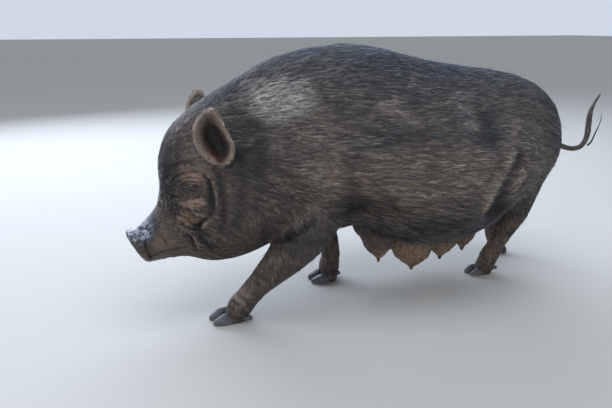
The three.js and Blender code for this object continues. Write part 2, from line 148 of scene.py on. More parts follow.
# the markings that skin and coat share, in metres on the model; painted light and shade are among them
# colour, centre, reach, share; the centre's y is the distance out from the middle plane
markingsAndPaintedLight = [
    ("#16222f", (0.04, 0.0, 0.50), (0.58, 0.17, 0.14), 0.92),  # blue-black back, partly a painted reflection: the sky's blue sheen is painted into the black hair
    ("#6d747e", (-0.06, 0.05, 0.508), (0.26, 0.12, 0.026), 0.50),  # dust along the top of the back, made paler as a painted sheen of the sky
    ("#171514", (-0.335, 0.10, 0.34), (0.055, 0.09, 0.08), 0.85),  # dark neck behind the ear
    ("#181b21", (-0.36, 0.0, 0.42), (0.08, 0.10, 0.06), 0.85),  # crest between the ears
    ("#8b8480", (-0.278, 0.10, 0.416), (0.074, 0.10, 0.044), 0.85),  # worn shoulder top
    ("#85766c", (-0.088, 0.14, 0.394), (0.034, 0.06, 0.017), 0.60),  # worn line slanting down behind it
    ("#85766c", (-0.056, 0.15, 0.372), (0.032, 0.06, 0.016), 0.60),
    ("#1f1c1c", (-0.13, 0.15, 0.345), (0.10, 0.07, 0.035), 0.50),  # darker below the worn patch
    ("#756352", (-0.02, 0.18, 0.28), (0.27, 0.10, 0.065), 0.70),  # brown flank
    ("#625c5c", (0.065, 0.15, 0.375), (0.022, 0.06, 0.045), 0.55),  # painted highlight on the ridge over the hip
    ("#17181b", (0.115, 0.16, 0.345), (0.025, 0.07, 0.045), 0.65),  # painted shade in the hollow behind it
    ("#221d19", (-0.01, 0.15, 0.165), (0.20, 0.09, 0.045), 0.75),  # painted shade under the belly
    ("#0f0d0c", (-0.150, 0.135, 0.215), (0.026, 0.04, 0.020), 0.80),  # painted shade in the hollow behind the elbow
    ("#6b4a3f", (-0.117, 0.132, 0.204), (0.014, 0.04, 0.010), 0.60),  # bare pinkish skin beside it
    ("#141619", (0.36, 0.0, 0.39), (0.15, 0.22, 0.17), 0.90),  # dark rump
    ("#2b2826", (0.28, 0.12, 0.33), (0.08, 0.12, 0.08), 0.50),  # dark ham
    ("#857668", (0.115, 0.17, 0.225), (0.030, 0.09, 0.050), 0.70),  # painted highlight on the ridge at the edge of the flank fold
    ("#6e5f51", (0.22, 0.14, 0.215), (0.05, 0.09, 0.030), 0.60),  # brown stifle
    ("#060504", (0.150, 0.15, 0.182), (0.030, 0.06, 0.032), 0.97),  # painted shade in the deep hollow before the thigh
    ("#77614f", (0.05, 0.06, 0.07), (0.24, 0.10, 0.055), 0.90),  # bare brown udder
    ("#1b1715", (-0.458, 0.02, 0.300), (0.045, 0.075, 0.080), 0.90),  # dark curls on the forehead
    ("#5b5149", (-0.415, 0.090, 0.320), (0.030, 0.04, 0.030), 0.60),  # brow, up to the ear
    ("#7e6757", (-0.425, 0.085, 0.294), (0.032, 0.04, 0.016), 0.80),  # brow and upper lid
    ("#8f7565", (-0.428, 0.080, 0.243), (0.024, 0.04, 0.012), 0.85),  # bag under the eye
    ("#1b1613", (-0.398, 0.095, 0.262), (0.010, 0.04, 0.030), 0.85),  # dark fold behind the eye
    ("#6a533d", (-0.434, 0.070, 0.212), (0.030, 0.05, 0.015), 0.80),  # tan folds of the cheek
    ("#605044", (-0.478, 0.030, 0.166), (0.022, 0.04, 0.030), 0.80),  # side of the muzzle
    ("#1b1511", (-0.402, 0.07, 0.183), (0.036, 0.06, 0.046), 0.85),  # muddy pit of the cheek
    ("#453a30", (-0.38, 0.07, 0.16), (0.045, 0.06, 0.030), 0.50),  # jowl
    ("#1f2833", (-0.508, 0.0, 0.190), (0.036, 0.06, 0.042), 0.95),  # blue-black snout
    ("#6c6157", (-0.520, 0.010, 0.128), (0.022, 0.05, 0.022), 0.60),  # dried mud at the rim of the snout
    ("#463a2f", (-0.28, 0.10, 0.11), (0.10, 0.08, 0.08), 0.75),  # brown forelegs
    ("#211b17", (-0.26, 0.12, 0.17), (0.07, 0.06, 0.04), 0.65),  # dark top of the foreleg
    ("#75675b", (-0.345, 0.08, 0.06), (0.022, 0.06, 0.030), 0.55),  # dusty knee and pastern
    ("#594a3d", (0.24, 0.06, 0.08), (0.13, 0.07, 0.08), 0.80),  # brown hind legs
    ("#451a12", (-0.392, 0.105, 0.335), (0.018, 0.04, 0.022), 0.90),  # red-brown depth of the ear
]

teatEnds = [(-0.050, 0.046, 0.068), (0.025, 0.052, 0.040), (0.098, 0.047, 0.052), (0.155, 0.044, 0.062)]
rowsApart = (0, 0.022)  # how far back the left and the right row stand
markingsAndPaintedLight += [
    ("#1c1512", (x + back, out, z), (0.012, 0.014, 0.013), 0.90)
    for x, out, z in teatEnds for back in rowsApart
]
markPlan = {
    "ragged": 0.045,  # how far the edges wander
    "skin": ("#27211e", "#574a41"),  # dark and pale of the ground colour
    # folds: where it starts, where it is full, how much of it then, and its colour; sunk, then raised. Sunk
    # creases are painted near black, painted shade with the dirt in them; raised ridges are painted paler
    "folds": [(0.02, 0.9, 0.9, "#0e0a08"), (-0.05, -0.9, 0.6, "#8b7b6b")],
}

# one group for skin and coat; sizes of the patterns in metres
group = bpy.data.node_groups.new("sowMarkingsAndPaintedLight", "ShaderNodeTree")
group.interface.new_socket("Colour", in_out="OUTPUT", socket_type="NodeSocketColor")
at = addNode(group, "TexCoord").outputs["Object"]
apart = addNode(group, "SeparateXYZ", {0: at})
out = addNode(group, "Math", {0: apart.outputs["Y"]}, operation="ABSOLUTE")
folded = addNode(group, "CombineXYZ", {"X": apart.outputs["X"], "Y": out, "Z": apart.outputs["Z"]})
ragged = addNode(group, "TexNoise", {"Vector": at, "Scale": 1 / 0.028, "Detail": 4.0, "Roughness": 0.6})
shifted = addNode(group, "VectorMath", {0: ragged.outputs["Color"], 1: (0.5, 0.5, 0.5)}, operation="SUBTRACT")
spread = addNode(group, "VectorMath", {0: shifted, "Scale": markPlan["ragged"]}, operation="SCALE")
spot = addNode(group, "VectorMath", {0: folded, 1: spread}, operation="ADD")
mottle = addNode(group, "TexNoise", {"Vector": at, "Scale": 1 / 0.011, "Detail": 6.0, "Roughness": 0.65})
dark, pale = markPlan["skin"]
colour = addNode(group, "Mix", {0: mottle, 6: dark, 7: pale}, data_type="RGBA").outputs[2]
for code, centre, reach, share in markingsAndPaintedLight:
    away = addNode(group, "VectorMath", {0: spot, 1: centre}, operation="SUBTRACT")
    scaled = addNode(group, "VectorMath", {0: away, 1: reach}, operation="DIVIDE")
    far = addNode(group, "VectorMath", {0: scaled}, operation="LENGTH").outputs["Value"]
    near = addNode(group, "MapRange", {"Value": far, "From Min": 1.15, "From Max": 0.35, "To Max": share},
                   interpolation_type="SMOOTHSTEP")
    colour = addNode(group, "Mix", {0: near, 6: colour, 7: code}, data_type="RGBA").outputs[2]
foldAt = addNode(group, "Attribute", attribute_name="fold").outputs["Fac"]
for start, full, most, code in markPlan["folds"]:
    near = addNode(group, "MapRange", {"Value": foldAt, "From Min": start, "From Max": full, "To Max": most})
    colour = addNode(group, "Mix", {0: near, 6: colour, 7: code}, data_type="RGBA").outputs[2]
streakAt = addNode(group, "Mapping", {"Vector": spot, "Scale": (1 / 0.032, 1 / 0.004, 1 / 0.0024)})
streak = addNode(group, "TexNoise", {"Vector": streakAt, "Scale": 1.0, "Detail": 3.0, "Roughness": 0.6})
behind = addNode(group, "MapRange", {"Value": apart.outputs["X"], "From Min": -0.40, "From Max": -0.33})
band = addNode(group, "MapRange",
               {"Value": streak, "From Min": 0.32, "From Max": 0.68, "To Min": -0.50, "To Max": 0.70})
banded = addNode(group, "Math", {0: band, 1: behind, 2: 1.0}, operation="MULTIPLY_ADD")
grime = addNode(group, "TexNoise", {"Vector": at, "Scale": 1 / 0.0045, "Detail": 3.0})
tone = addNode(group, "MapRange",
               {"Value": grime, "From Min": 0.3, "From Max": 0.7, "To Min": 0.75, "To Max": 1.30})
tone = addNode(group, "Math", {0: tone, 1: banded}, operation="MULTIPLY")
colour = addNode(group, "VectorMath", {0: colour, "Scale": tone}, operation="SCALE")
setInputs(group, group.nodes.new("NodeGroupOutput"), {0: colour})


# the skin
skinPlan = {
    "voxel": 3.0 * mm,
    "grow": 0.45 * mm,  # closes the cuts between the solids
    "headFrom": -0.372, "headAbove": 0.11,  # ahead of and above these the skin is twice as fine
    "trunkShare": 0.42,  # share of faces kept where the skin is smooth
    "triangles": 192000,  # in the finished skin
    "offFloor": 0.3 * mm,
    # rounds of smoothing, coat depth in mm
    "parts": {
        "snout_disc": (2, 0.3), "muzzle": (8, 0.7), "head": (22, 1.6), "neck": (70, 2.8),
        "shoulders": (100, 3.0), "belly": (100, 3.0), "rump": (90, 3.0),
        "udder_left": (16, 0.5), "udder_right": (16, 0.5), "ear_left": (3, 0.6), "ear_right": (3, 0.6),
        "upper": (18, 1.8), "lower": (4, 0.8), "tail": (6, 0.4), "eye": (10, 1.0),
    },
}
partPlan = {"margin": 12 * mm, "reach": 20 * mm}  # how far from a solid a point can be its own
coronetPlan = {"back": 0.42, "wider": 0.10, "taller": 1.12}  # shares of a claw
trunkNames = ["neck", "shoulders", "belly", "rump"]
udderNames = ["udder_left", "udder_right"]
earNames = ["ear_left", "ear_right"]
eyeNames = ["eye_left", "eye_right"]
legNames = ["foreleg_left", "foreleg_right", "hindleg_left", "hindleg_right"]
legFlesh = [f"{leg}_{end}" for leg in legNames for end in ("upper", "lower")]
fleshNames = ["snout_disc", "muzzle", "head", *trunkNames, *udderNames, *earNames, "tail", *legFlesh]
partNames = list(skinPlan["parts"])


def partOf(node):
    for key in ("upper", "lower"):
        if node.endswith(key):
            return partNames.index(key)
    return partNames.index("eye") if node.startswith("eye") else partNames.index(node)


def mergedSolid(node, grow=0.0):  # a welded copy of a CAD solid, as a bmesh
    bm = bmesh.new()
    bm.from_mesh(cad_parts[node].data)
    bmesh.ops.remove_doubles(bm, verts=bm.verts, dist=1e-5)
    bm.normal_update()
    if grow:
        for vert in bm.verts:
            vert.co += vert.normal * grow
    return bm


def joined(whole, part):  # one bmesh added to another
    mesh = bpy.data.meshes.new("part")
    part.to_mesh(mesh)
    part.free()
    whole.from_mesh(mesh)
    bpy.data.meshes.remove(mesh)


def gathered(nodes, grow=0.0):  # several solids in one mesh
    whole = bmesh.new()
    for node in nodes:
        joined(whole, mergedSolid(node, grow))
    return whole


def coronets(bm):  # the skin over the back of each claw that bears weight
    for node in (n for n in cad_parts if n.endswith("_claw")):
        part = mergedSolid(node)
        low, high = (Vector(c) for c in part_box(node))
        middle, size = (low + high) / 2, high - low
        for vert in part.verts:
            aside = vert.co - middle
            vert.co.x += size.x * coronetPlan["back"]
            vert.co.y += aside.y * coronetPlan["wider"]
            vert.co.z = max(vert.co.z * coronetPlan["taller"], 0.0)
        joined(bm, part)
    return bm


def remeshed(bm, name, voxel):  # one closed skin round all that is in the bmesh
    mesh = bpy.data.meshes.new(name)
    bm.to_mesh(mesh)
    bm.free()
    piece = bpy.data.objects.new(name, mesh)
    scene.collection.objects.link(piece)
    remesh = piece.modifiers.new("remesh", "REMESH")
    remesh.mode = "VOXEL"
    remesh.voxel_size = voxel
    return applied(piece)


def applied(piece):
    done = bpy.data.meshes.new_from_object(piece.evaluated_get(bpy.context.evaluated_depsgraph_get()))
    piece.modifiers.clear()
    piece.data = done
    return piece


def thinned(piece, share, group=""):  # merges the flattest faces till this share is left
    thin = piece.modifiers.new("thin", "DECIMATE")
    thin.ratio = share
    if group:
        thin.vertex_group = group
        thin.vertex_group_factor = 1.0
    return applied(piece)


def refined(mesh, wanted):  # twice as fine where a face's middle is wanted
    bm = bmesh.new()
    bm.from_mesh(mesh)
    fine = [f for f in bm.faces if wanted(f.calc_center_median())]
    edges = list(dict.fromkeys(e for f in fine for e in f.edges))
    bmesh.ops.subdivide_edges(bm, edges=edges, cuts=1, use_grid_fill=True)
    bmesh.ops.triangulate(bm, faces=[f for f in bm.faces if len(f.verts) > 4])
    bm.to_mesh(mesh)
    bm.free()


def triangleCount(mesh):
    return sum(len(p.vertices) - 2 for p in mesh.polygons)


def unit(vectors):
    return vectors / (np.linalg.norm(vectors, axis=-1, keepdims=True) + 1e-12)


def pointsOf(mesh):
    flat = np.empty(len(mesh.vertices) * 3, np.float32)
    mesh.vertices.foreach_get("co", flat)
    return flat.reshape(-1, 3).astype(float)


def normalsOf(mesh):
    flat = np.empty(len(mesh.vertices) * 3, np.float32)
    mesh.vertex_normals.foreach_get("vector", flat)
    return flat.reshape(-1, 3).astype(float)


def putPoints(mesh, points):
    mesh.vertices.foreach_set("co", points.astype(np.float32).ravel())
    mesh.update()


def edgesOf(mesh):
    flat = np.empty(len(mesh.edges) * 2, np.int32)
    mesh.edges.foreach_get("vertices", flat)
    return flat.reshape(-1, 2)


def relaxed(values, edges, rounds, amount=0.5):  # each value drawn to its neighbours' mean, `rounds` times
    values = values.reshape(len(values), -1).copy()
    count = np.bincount(edges.ravel(), minlength=len(values)).clip(1)[:, None]
    rounds = np.broadcast_to(rounds, len(values))
    for turn in range(int(np.ceil(rounds.max()))):
        share = amount * np.clip(rounds - turn, 0, 1)[:, None]
        total = np.stack([
            np.bincount(edges[:, 0], values[edges[:, 1], k], len(values))
            + np.bincount(edges[:, 1], values[edges[:, 0], k], len(values))
            for k in range(values.shape[1])
        ], 1)
        values += share * (total / count - values)
    return values


solids = coronets(gathered(fleshNames + eyeNames, skinPlan["grow"]))
hide = remeshed(solids, "hide", skinPlan["voxel"])
print("skin remeshed", len(hide.data.polygons))

solidTrees = []
for node in fleshNames + eyeNames:
    bm = mergedSolid(node)
    solidTrees.append((partOf(node), node, BVHTree.FromBMesh(bm)))
    bm.free()


def partsAt(points):  # which part each point belongs to
    part = np.zeros(len(points), int)
    best = np.full(len(points), 1.0)
    for index, node, solid in solidTrees:
        low, high = (np.array(corner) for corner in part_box(node))
        inBox = (points > low - partPlan["margin"]) & (points < high + partPlan["margin"])
        for i in np.where(inBox.all(1))[0]:
            found = solid.find_nearest(points[i], partPlan["reach"])
            if found[0] is not None and found[3] < best[i]:
                best[i], part[i] = found[3], index
    return part


def onParts(part, names):  # true where a point belongs to one of the parts
    return np.isin(part, [partNames.index(name) for name in names])


def softMask(names, rounds):  # 1 on the parts, fading at their edges
    return relaxed(onParts(part, names).astype(float), edges, rounds)[:, 0]


points, edges = pointsOf(hide.data), edgesOf(hide.data)
part = partsAt(points)
table = np.array([skinPlan["parts"][name] for name in partNames], float)
rounds, depth = relaxed(table[part], edges, 12).T
points = relaxed(points, edges, rounds)
putPoints(hide.data, points)
points -= normalsOf(hide.data) * (depth * mm + skinPlan["grow"])[:, None]
putPoints(hide.data, points)
print("skin smoothed")


# folds: each runs along a line of points on the left side, in mm, and both sides get it
foldPlan = {
    "reach": 3.2,  # half widths out to where a fold has ended
    "taper": 0.18,  # share of the line that each end takes to run out
    "trunkDark": 7,  # mm of a crease that is fully dark
    "headDark": 3.4,
    "headMore": 1.25,  # all the head's folds are drawn this much stronger
}


def smoothLine(line, steps=8):  # Catmull-Rom through the points
    p = np.array([line[0], *line, line[-1]], float)
    t = np.linspace(0, 1, steps, endpoint=False)[:, None]
    runs = [
        0.5 * (2 * b + (c - a) * t + (2 * a - 5 * b + 4 * c - d) * t**2 + (3 * b - a - 3 * c + d) * t**3)
        for a, b, c, d in zip(p[:-3], p[1:-2], p[2:-1], p[3:])
    ]
    return np.concatenate(runs + [p[-2:-1]])


def foldHeight(points, line, width, height):
    low, high = np.min(line, 0) - foldPlan["reach"] * width, np.max(line, 0) + foldPlan["reach"] * width
    near = np.where(((points > low) & (points < high)).all(1))[0]
    total = np.zeros(len(points))
    if not len(near):
        return total
    path = smoothLine(line)
    p, best, at = points[near], np.full(len(near), 1e9), np.zeros(len(near))
    for i, (a, b) in enumerate(zip(path[:-1], path[1:])):
        t = np.clip(((p - a) @ (b - a)) / max(((b - a) ** 2).sum(), 1e-9), 0, 1)
        gap = ((p - a - t[:, None] * (b - a)) ** 2).sum(1)
        closer = gap < best
        best[closer], at[closer] = gap[closer], (i + t[closer]) / (len(path) - 1)
    taper = np.clip(np.minimum(at, 1 - at) / foldPlan["taper"], 0, 1)
    total[near] = height * np.exp(-best / width**2) * (0.15 + 0.85 * taper * (2 - taper))
    return total


def mirrored(points):  # every point as if on the left side, in mm
    return np.stack([points[:, 0], -np.abs(points[:, 1]), points[:, 2]], 1) / mm


# line, half width, height (below zero is a crease)
trunkFolds = [
    ([(190, -166, 306), (177, -170, 290), (162, -175, 269), (146, -178, 244), (134, -176, 221),
      (126, -172, 198), (122, -160, 172)], 12, -10),
    ([(166, -170, 300), (156, -173, 285), (140, -177, 262), (122, -179, 238), (108, -178, 214),
      (100, -170, 186)], 18, 6),
    ([(196, -170, 270), (178, -172, 250), (166, -172, 226), (164, -166, 205)], 14, 5),
    ([(148, -177, 228), (174, -171, 221), (206, -158, 216), (246, -132, 208)], 8, -4.5),
    ([(40, -131, 410), (49, -131, 400), (69, -139, 386), (80, -152, 366), (84, -161, 340)], 12, 2.6),
    ([(108, -142, 385), (112, -149, 368), (112, -161, 344), (110, -170, 312)], 14, -3.0),
    ([(-189, -154, 320), (-166, -151, 272), (-150, -142, 232)], 14, -3.5),
    ([(-312, -96, 183), (-284, -114, 176), (-256, -140, 190), (-226, -152, 212)], 9, -8),
    ([(-353, -104, 336), (-350, -112, 294), (-353, -108, 240), (-358, -92, 182)], 9, -4),
    ([(-328, -118, 311), (-323, -118, 266), (-325, -108, 216)], 10, -2.5),
    ([(-292, -130, 330), (-286, -136, 280), (-290, -126, 225)], 12, -2),
    ([(-135, -95, 172), (-88, -72, 150), (-40, -82, 138), (20, -88, 128), (80, -84, 128),
      (110, -110, 140)], 8, -6),
]
legFolds = [
    ([(-365, -65, 46), (-360, -82, 44), (-353, -88, 36), (-348, -82, 20)], 3.2, -2.6),
    ([(-355, -78, 58), (-347, -90, 54), (-338, -90, 40), (-329, -76, 22)], 3.6, -2.4),
    ([(-360, -72, 52), (-353, -87, 48), (-345, -91, 38), (-339, -80, 22)], 4.0, 2.4),
    ([(-370, -66, 38), (-365, -80, 36), (-359, -84, 28), (-354, -80, 14)], 3.6, 2.0),
    ([(-373, -62, 33), (-368, -74, 32), (-361, -82, 25), (-357, -79, 10)], 2.8, -2.0),
    ([(-335, -86, 96), (-331, -95, 91), (-319, -107, 82)], 4.0, -2.0),
    ([(-328, -90, 107), (-322, -100, 104), (-308, -113, 95)], 4.5, -1.6),
    ([(-308, -82, 163), (-288, -100, 165), (-278, -122, 172), (-256, -140, 168)], 6.0, -3.5),
    ([(-299, -88, 148), (-286, -118, 158), (-264, -136, 157)], 5.0, -1.8),
    ([(226, -73, 130), (232, -88, 112), (246, -90, 102)], 4.5, -2.4),
    ([(211, -30, 40), (209, -54, 40), (218, -64, 36)], 3.0, -2.0),
    ([(205, -34, 27), (205, -50, 25), (216, -60, 23)], 2.6, -1.8),
]
trunkBulges = [  # centre, reach, height
    ((-190, -160, 330), (60, 60, 90), 3),
    ((-10, -180, 225), (110, 60, 60), 3),
    ((230, -160, 300), (60, 60, 80), 3),
    ((150, -165, 184), (22, 34, 24), -20),
    ((-150, -135, 212), (24, 30, 22), -8),
    ((175, -155, 346), (22, 40, 30), 2.5),
]


def blob(points, centre, reach, power=1):  # 1 at the centre, next to nothing past the reach
    return np.exp(-(((points - centre) / reach) ** 2).sum(1) ** power)


def wrinkle(points, size, seed):  # smooth noise from a few waves, about -1 to 1
    dice = np.random.default_rng(seed)
    total = np.zeros(len(points))
    for _ in range(7):
        way = dice.normal(size=3)
        way *= dice.uniform(0.6, 1.5) * 2 * math.pi / size / np.linalg.norm(way)
        total += np.sin(points @ way + dice.uniform(0, 6.3) + 1.4 * np.sin(points @ way[[1, 2, 0]] * 0.6))
    return total / 3.2


def creased(points, size, seed):  # a wandering net of narrow creases, 0 to 1
    return np.exp(-((wrinkle(points, size, seed) / 0.20) ** 2))


def lift(mesh, height):  # moves the skin out by heights in mm
    putPoints(mesh, pointsOf(mesh) + normalsOf(mesh) * (height * mm)[:, None])


waves = [  # parts, rounds that soften their edge, then each wave's height in mm, stretch, size and seed
    (trunkNames, 10, [(wrinkle, 0.9, (0.6, 1, 1), 60, 3), (wrinkle, 0.45, (0.5, 1, 1.3), 24, 4)]),
    (["lower"], 6, [(wrinkle, 0.5, (1, 1, 1.5), 15, 13), (creased, -0.9, (1, 1, 1.6), 17, 14)]),
    (udderNames, 6, [(wrinkle, 1.0, (1.6, 1, 0.7), 16, 5), (creased, -1.1, (1.7, 1, 0.8), 13, 6)]),
]
left = mirrored(points)
height = sum(foldHeight(left, *fold) for fold in trunkFolds + legFolds)
height += sum(rise * blob(left, centre, reach) for centre, reach, rise in trunkBulges)
for names, rounds, kinds in waves:
    here = softMask(names, rounds)
    for wave, high, stretch, size, seed in kinds:
        height += here * high * wave(points / mm * stretch, size, seed)
lift(hide.data, height)
wasAt = pointsOf(hide.data)

# fewer faces where the skin is smooth, more on the head
trunk = np.round(softMask(trunkNames, 10), 1)
coarser = hide.vertex_groups.new(name="coarser")
for share in np.unique(trunk):
    coarser.add(np.where(trunk == share)[0].tolist(), float(share), "REPLACE")
thinned(hide, skinPlan["trunkShare"], "coarser")
hide.vertex_groups.clear()




def needsDetail(at):
    onEar = at.x < -0.32 and at.z > 0.30 and abs(at.y) > 0.09
    return onEar or (at.x < skinPlan["headFrom"] and at.z > skinPlan["headAbove"])


def carryFold(mesh, wasAt, fold):  # each point takes the fold of the nearest point of the mesh as it was
    tree = KDTree(len(wasAt))
    for i, point in enumerate(wasAt):
        tree.insert(point, i)
    tree.balance()
    nearest = [tree.find(point)[1] for point in pointsOf(mesh)]
    attribute = mesh.attributes.get("fold") or mesh.attributes.new("fold", "FLOAT", "POINT")
    attribute.data.foreach_set("value", fold[nearest].clip(-1, 1).astype(np.float32))


def foldOf(mesh):
    values = np.zeros(len(mesh.vertices), np.float32)
    mesh.attributes["fold"].data.foreach_get("value", values)
    return values


refined(hide.data, needsDetail)
carryFold(hide.data, wasAt, -height / foldPlan["trunkDark"])
points, edges = pointsOf(hide.data), edgesOf(hide.data)
head = (points[:, 0] < skinPlan["headFrom"]) & (points[:, 2] > skinPlan["headAbove"])
putPoints(hide.data, relaxed(points, edges, 2.0 * head))
print("skin folds on the trunk", triangleCount(hide.data))


# eyes: a wet ball in each socket, the skin drawn over it as lids
eyePlan = {
    "centre": (-428.43, -73.5, 269.0),  # left eye, mm
    "radius": 11.6,
    "out": (-0.47, -0.88, -0.02),  # the way it looks
    "along": (0.83, -0.50, 0.25),  # from the front corner to the back one
    "halfSlit": 13.5,
    "halfOpen": 1.7,
    "lid": 1.4,  # thickness over the ball
    "hood": 0.9,  # how far the upper lid stands over the slit
    "lidsReach": 24,  # how far from the centre the skin is drawn over the ball
    "foldsReach": 34,
    "sunk": 3.0,  # the skin behind the slit, under the ball's face
    "fineReach": 26,
    # half length, height at the middle and at the ends, half width, height of the fold
    "folds": [
        (17, 6.6, 0.5, 1.3, -2.2), (19, 9.6, 3.0, 2.0, 1.9), (20, 12.4, 4.5, 1.4, -2.2),
        (22, 16.0, 7.5, 2.6, 2.0), (24, 20.0, 11.0, 1.6, -1.6), (14, -4.0, -0.8, 1.6, 0.9),
        (15, -7.0, -2.0, 1.3, -1.3), (17, -12.5, -4.5, 4.2, 2.6), (20, -19.0, -7.0, 1.8, -2.2),
        (22, -23.5, -10.0, 3.0, 1.4), (24, -28.0, -13.0, 1.8, -1.4),
    ],
}
eyeOut = np.array(eyePlan["out"]) / np.linalg.norm(eyePlan["out"])
eyeAlong = np.array(eyePlan["along"]) - eyeOut * np.dot(eyePlan["along"], eyeOut)
eyeAlong /= np.linalg.norm(eyeAlong)
eyeUp = np.cross(eyeOut, eyeAlong)


def fromEye(points):  # along, up and out from the centre of its own side's eye, in mm
    aside = mirrored(points) - eyePlan["centre"]
    return aside, aside @ eyeAlong, aside @ eyeUp, aside @ eyeOut


def slitAt(u):  # middle of the slit between the lids, and how far it is open either way
    share = np.clip(1 - (u / eyePlan["halfSlit"]) ** 2, 0, 1)
    return 0.6 - 0.006 * u**2 + 0.03 * u, eyePlan["halfOpen"] * np.sqrt(share)


eyeCentres = [Vector(eyePlan["centre"]) * mm, Vector(eyePlan["centre"]) * mm]
eyeCentres[1].y *= -1
refined(hide.data, lambda at: min((at - centre).length for centre in eyeCentres) < eyePlan["fineReach"] * mm)

# line, half width and height as on the trunk
headFolds = [
    ([(-460, -50, 223), (-449, -62, 218), (-437, -70, 209), (-428, -73, 195)], 2.6, -2.8),
    ([(-462, -48, 217), (-450, -60, 212), (-440, -67, 203), (-432, -70, 193)], 3.0, 2.0),
    ([(-434, -75, 224), (-423, -79, 217), (-413, -83, 215)], 2.4, -2.4),
    ([(-432, -76, 229), (-421, -80, 223), (-409, -85, 221)], 2.6, 1.8),
    ([(-424, -74, 195), (-416, -80, 207), (-405, -86, 217)], 3.4, -3.8),
    ([(-417, -76, 194), (-409, -82, 206), (-400, -87, 214)], 3.6, 2.4),
    ([(-451, -58, 206), (-438, -65, 196), (-426, -71, 189)], 2.6, -2.6),
    ([(-455, -53, 200), (-441, -61, 190), (-430, -67, 184)], 3.0, 2.0),
    ([(-435, -62, 180), (-429, -58, 168), (-424, -52, 154)], 3.6, -3.0),
    ([(-430, -66, 180), (-422, -62, 166), (-416, -55, 152)], 3.4, 2.4),
    ([(-423, -72, 185), (-410, -71, 167), (-392, -62, 144)], 3.8, -3.0),
    ([(-454, -59, 234), (-439, -71, 231), (-421, -82, 228)], 2.4, -1.8),
    ([(-412, -90, 298), (-403, -94, 281), (-399, -95, 260), (-398, -93, 238), (-405, -87, 213)], 4.2, -4.2),
    ([(-404, -91, 296), (-395, -95, 279), (-391, -96, 258), (-390, -94, 236)], 4.5, 1.8),
    ([(-388, -96, 299), (-384, -99, 269), (-381, -95, 223), (-384, -83, 177)], 6.0, -2.2),
    ([(-500, -26, 135), (-490, -25, 137), (-478, -28, 143), (-457, -34, 147), (-432, -52, 155)], 2.0, -2.8),
    ([(-496, -22, 128), (-478, -25, 135), (-456, -32, 139), (-438, -44, 146)], 3.2, 1.2),
    ([(-516, -2, 190), (-511, -20, 182), (-506, -30, 160), (-500, -28, 138), (-494, -8, 119)], 2.2, -2.8),
    ([(-507, -2, 200), (-503, -21, 190), (-495, -30, 163)], 2.0, -1.4),
    ([(-498, -2, 209), (-493, -24, 198), (-483, -34, 170)], 2.2, -1.2),
    ([(-482, -34, 180), (-476, -37, 169), (-469, -34, 154)], 2.4, -1.8),
    ([(-457, -54, 285), (-442, -70, 295), (-424, -82, 299), (-409, -89, 296)], 2.8, -1.8),
    ([(-461, -43, 301), (-444, -65, 313), (-423, -79, 314)], 3.2, -1.6),
    ([(-475, -17, 238), (-464, -43, 251), (-453, -60, 251)], 2.8, -1.6),
    ([(-357, -107, 332), (-353, -111, 305), (-353, -110, 278)], 3.6, -4.5),
]
headBulges = [
    ((-424, -76, 197), (8, 12, 8), -4.0),
    ((-396, -84, 190), (18, 20, 34), 1.0),
]

wrinkled = [  # centre, reach, depth, spacing of the creases, in mm
    ((-425, -72, 205), (34, 26, 28), 1.7, 12),
    ((-430, -80, 262), (34, 26, 40), 0.8, 11),
    ((-478, -35, 190), (30, 26, 34), 0.7, 12),
    ((-405, -62, 155), (26, 22, 20), 1.1, 11),
]
# ears: where each stands, in mm, and the side its cup opens to
earPlaces = {"ear_left": ((-391.43, -101, 317), 1), "ear_right": ((-364.43, 101, 323), -1)}
earShape = {
    "flare": 14,  # degrees
    "turn": -12,
    "height": 96,
    "thick": 24,  # how far behind the leaf's middle is still ear
    # middle and reach as shares of the leaf, across and up it, and mm
    "cavity": ((0.06, 0.40), (0.50, 0.34), 10.5),
    "frontRim": ((-0.85, 0.35), (0.22, 0.45), 1.6),
    "lobe": ((0.62, 0.07), (0.30, 0.09), 4.5),
    "rim": (0.97, 0.13, 1.6),  # where it is as a share, its width and mm
}
# the leaf's half width and its shift backwards at shares of its height
earRises = (-0.03, 0.04, 0.16, 0.32, 0.5, 0.72, 0.9, 1)
earHalves = (14, 23, 29, 33, 31, 25, 17, 7)
earShifts = (9, 9, 6, 1, -4, -8, -5, -2)


def inEar(points, name):  # place on the leaf as shares, mm behind its middle, share of the way to its edge
    place, side = earPlaces[name]
    turn, flare = math.radians(earShape["turn"]), math.radians(earShape["flare"])
    own = (points / mm - place) * (1, side, 1)
    x = own[:, 0] * math.cos(turn) + own[:, 1] * math.sin(turn)
    y = own[:, 1] * math.cos(turn) - own[:, 0] * math.sin(turn)
    deep = y * math.cos(flare) + own[:, 2] * math.sin(flare)
    rise = (own[:, 2] * math.cos(flare) - y * math.sin(flare)) / earShape["height"]
    wide = (x - np.interp(rise, earRises, earShifts)) / np.interp(rise, earRises, earHalves)
    mine = (np.abs(wide) < 1.3) & (rise > -0.12) & (rise < 1.1) & (np.abs(deep) < earShape["thick"])
    return np.stack([wide, rise], 1), deep, np.hypot(wide, (rise - 0.47) / 0.55), mine


def earWay(name):  # the way the cup opens
    turn, flare = math.radians(earShape["turn"]), math.radians(earShape["flare"])
    way = np.array((math.sin(turn) * math.cos(flare), -math.cos(turn) * math.cos(flare), -math.sin(flare)))
    return way * (1, earPlaces[name][1], 1)


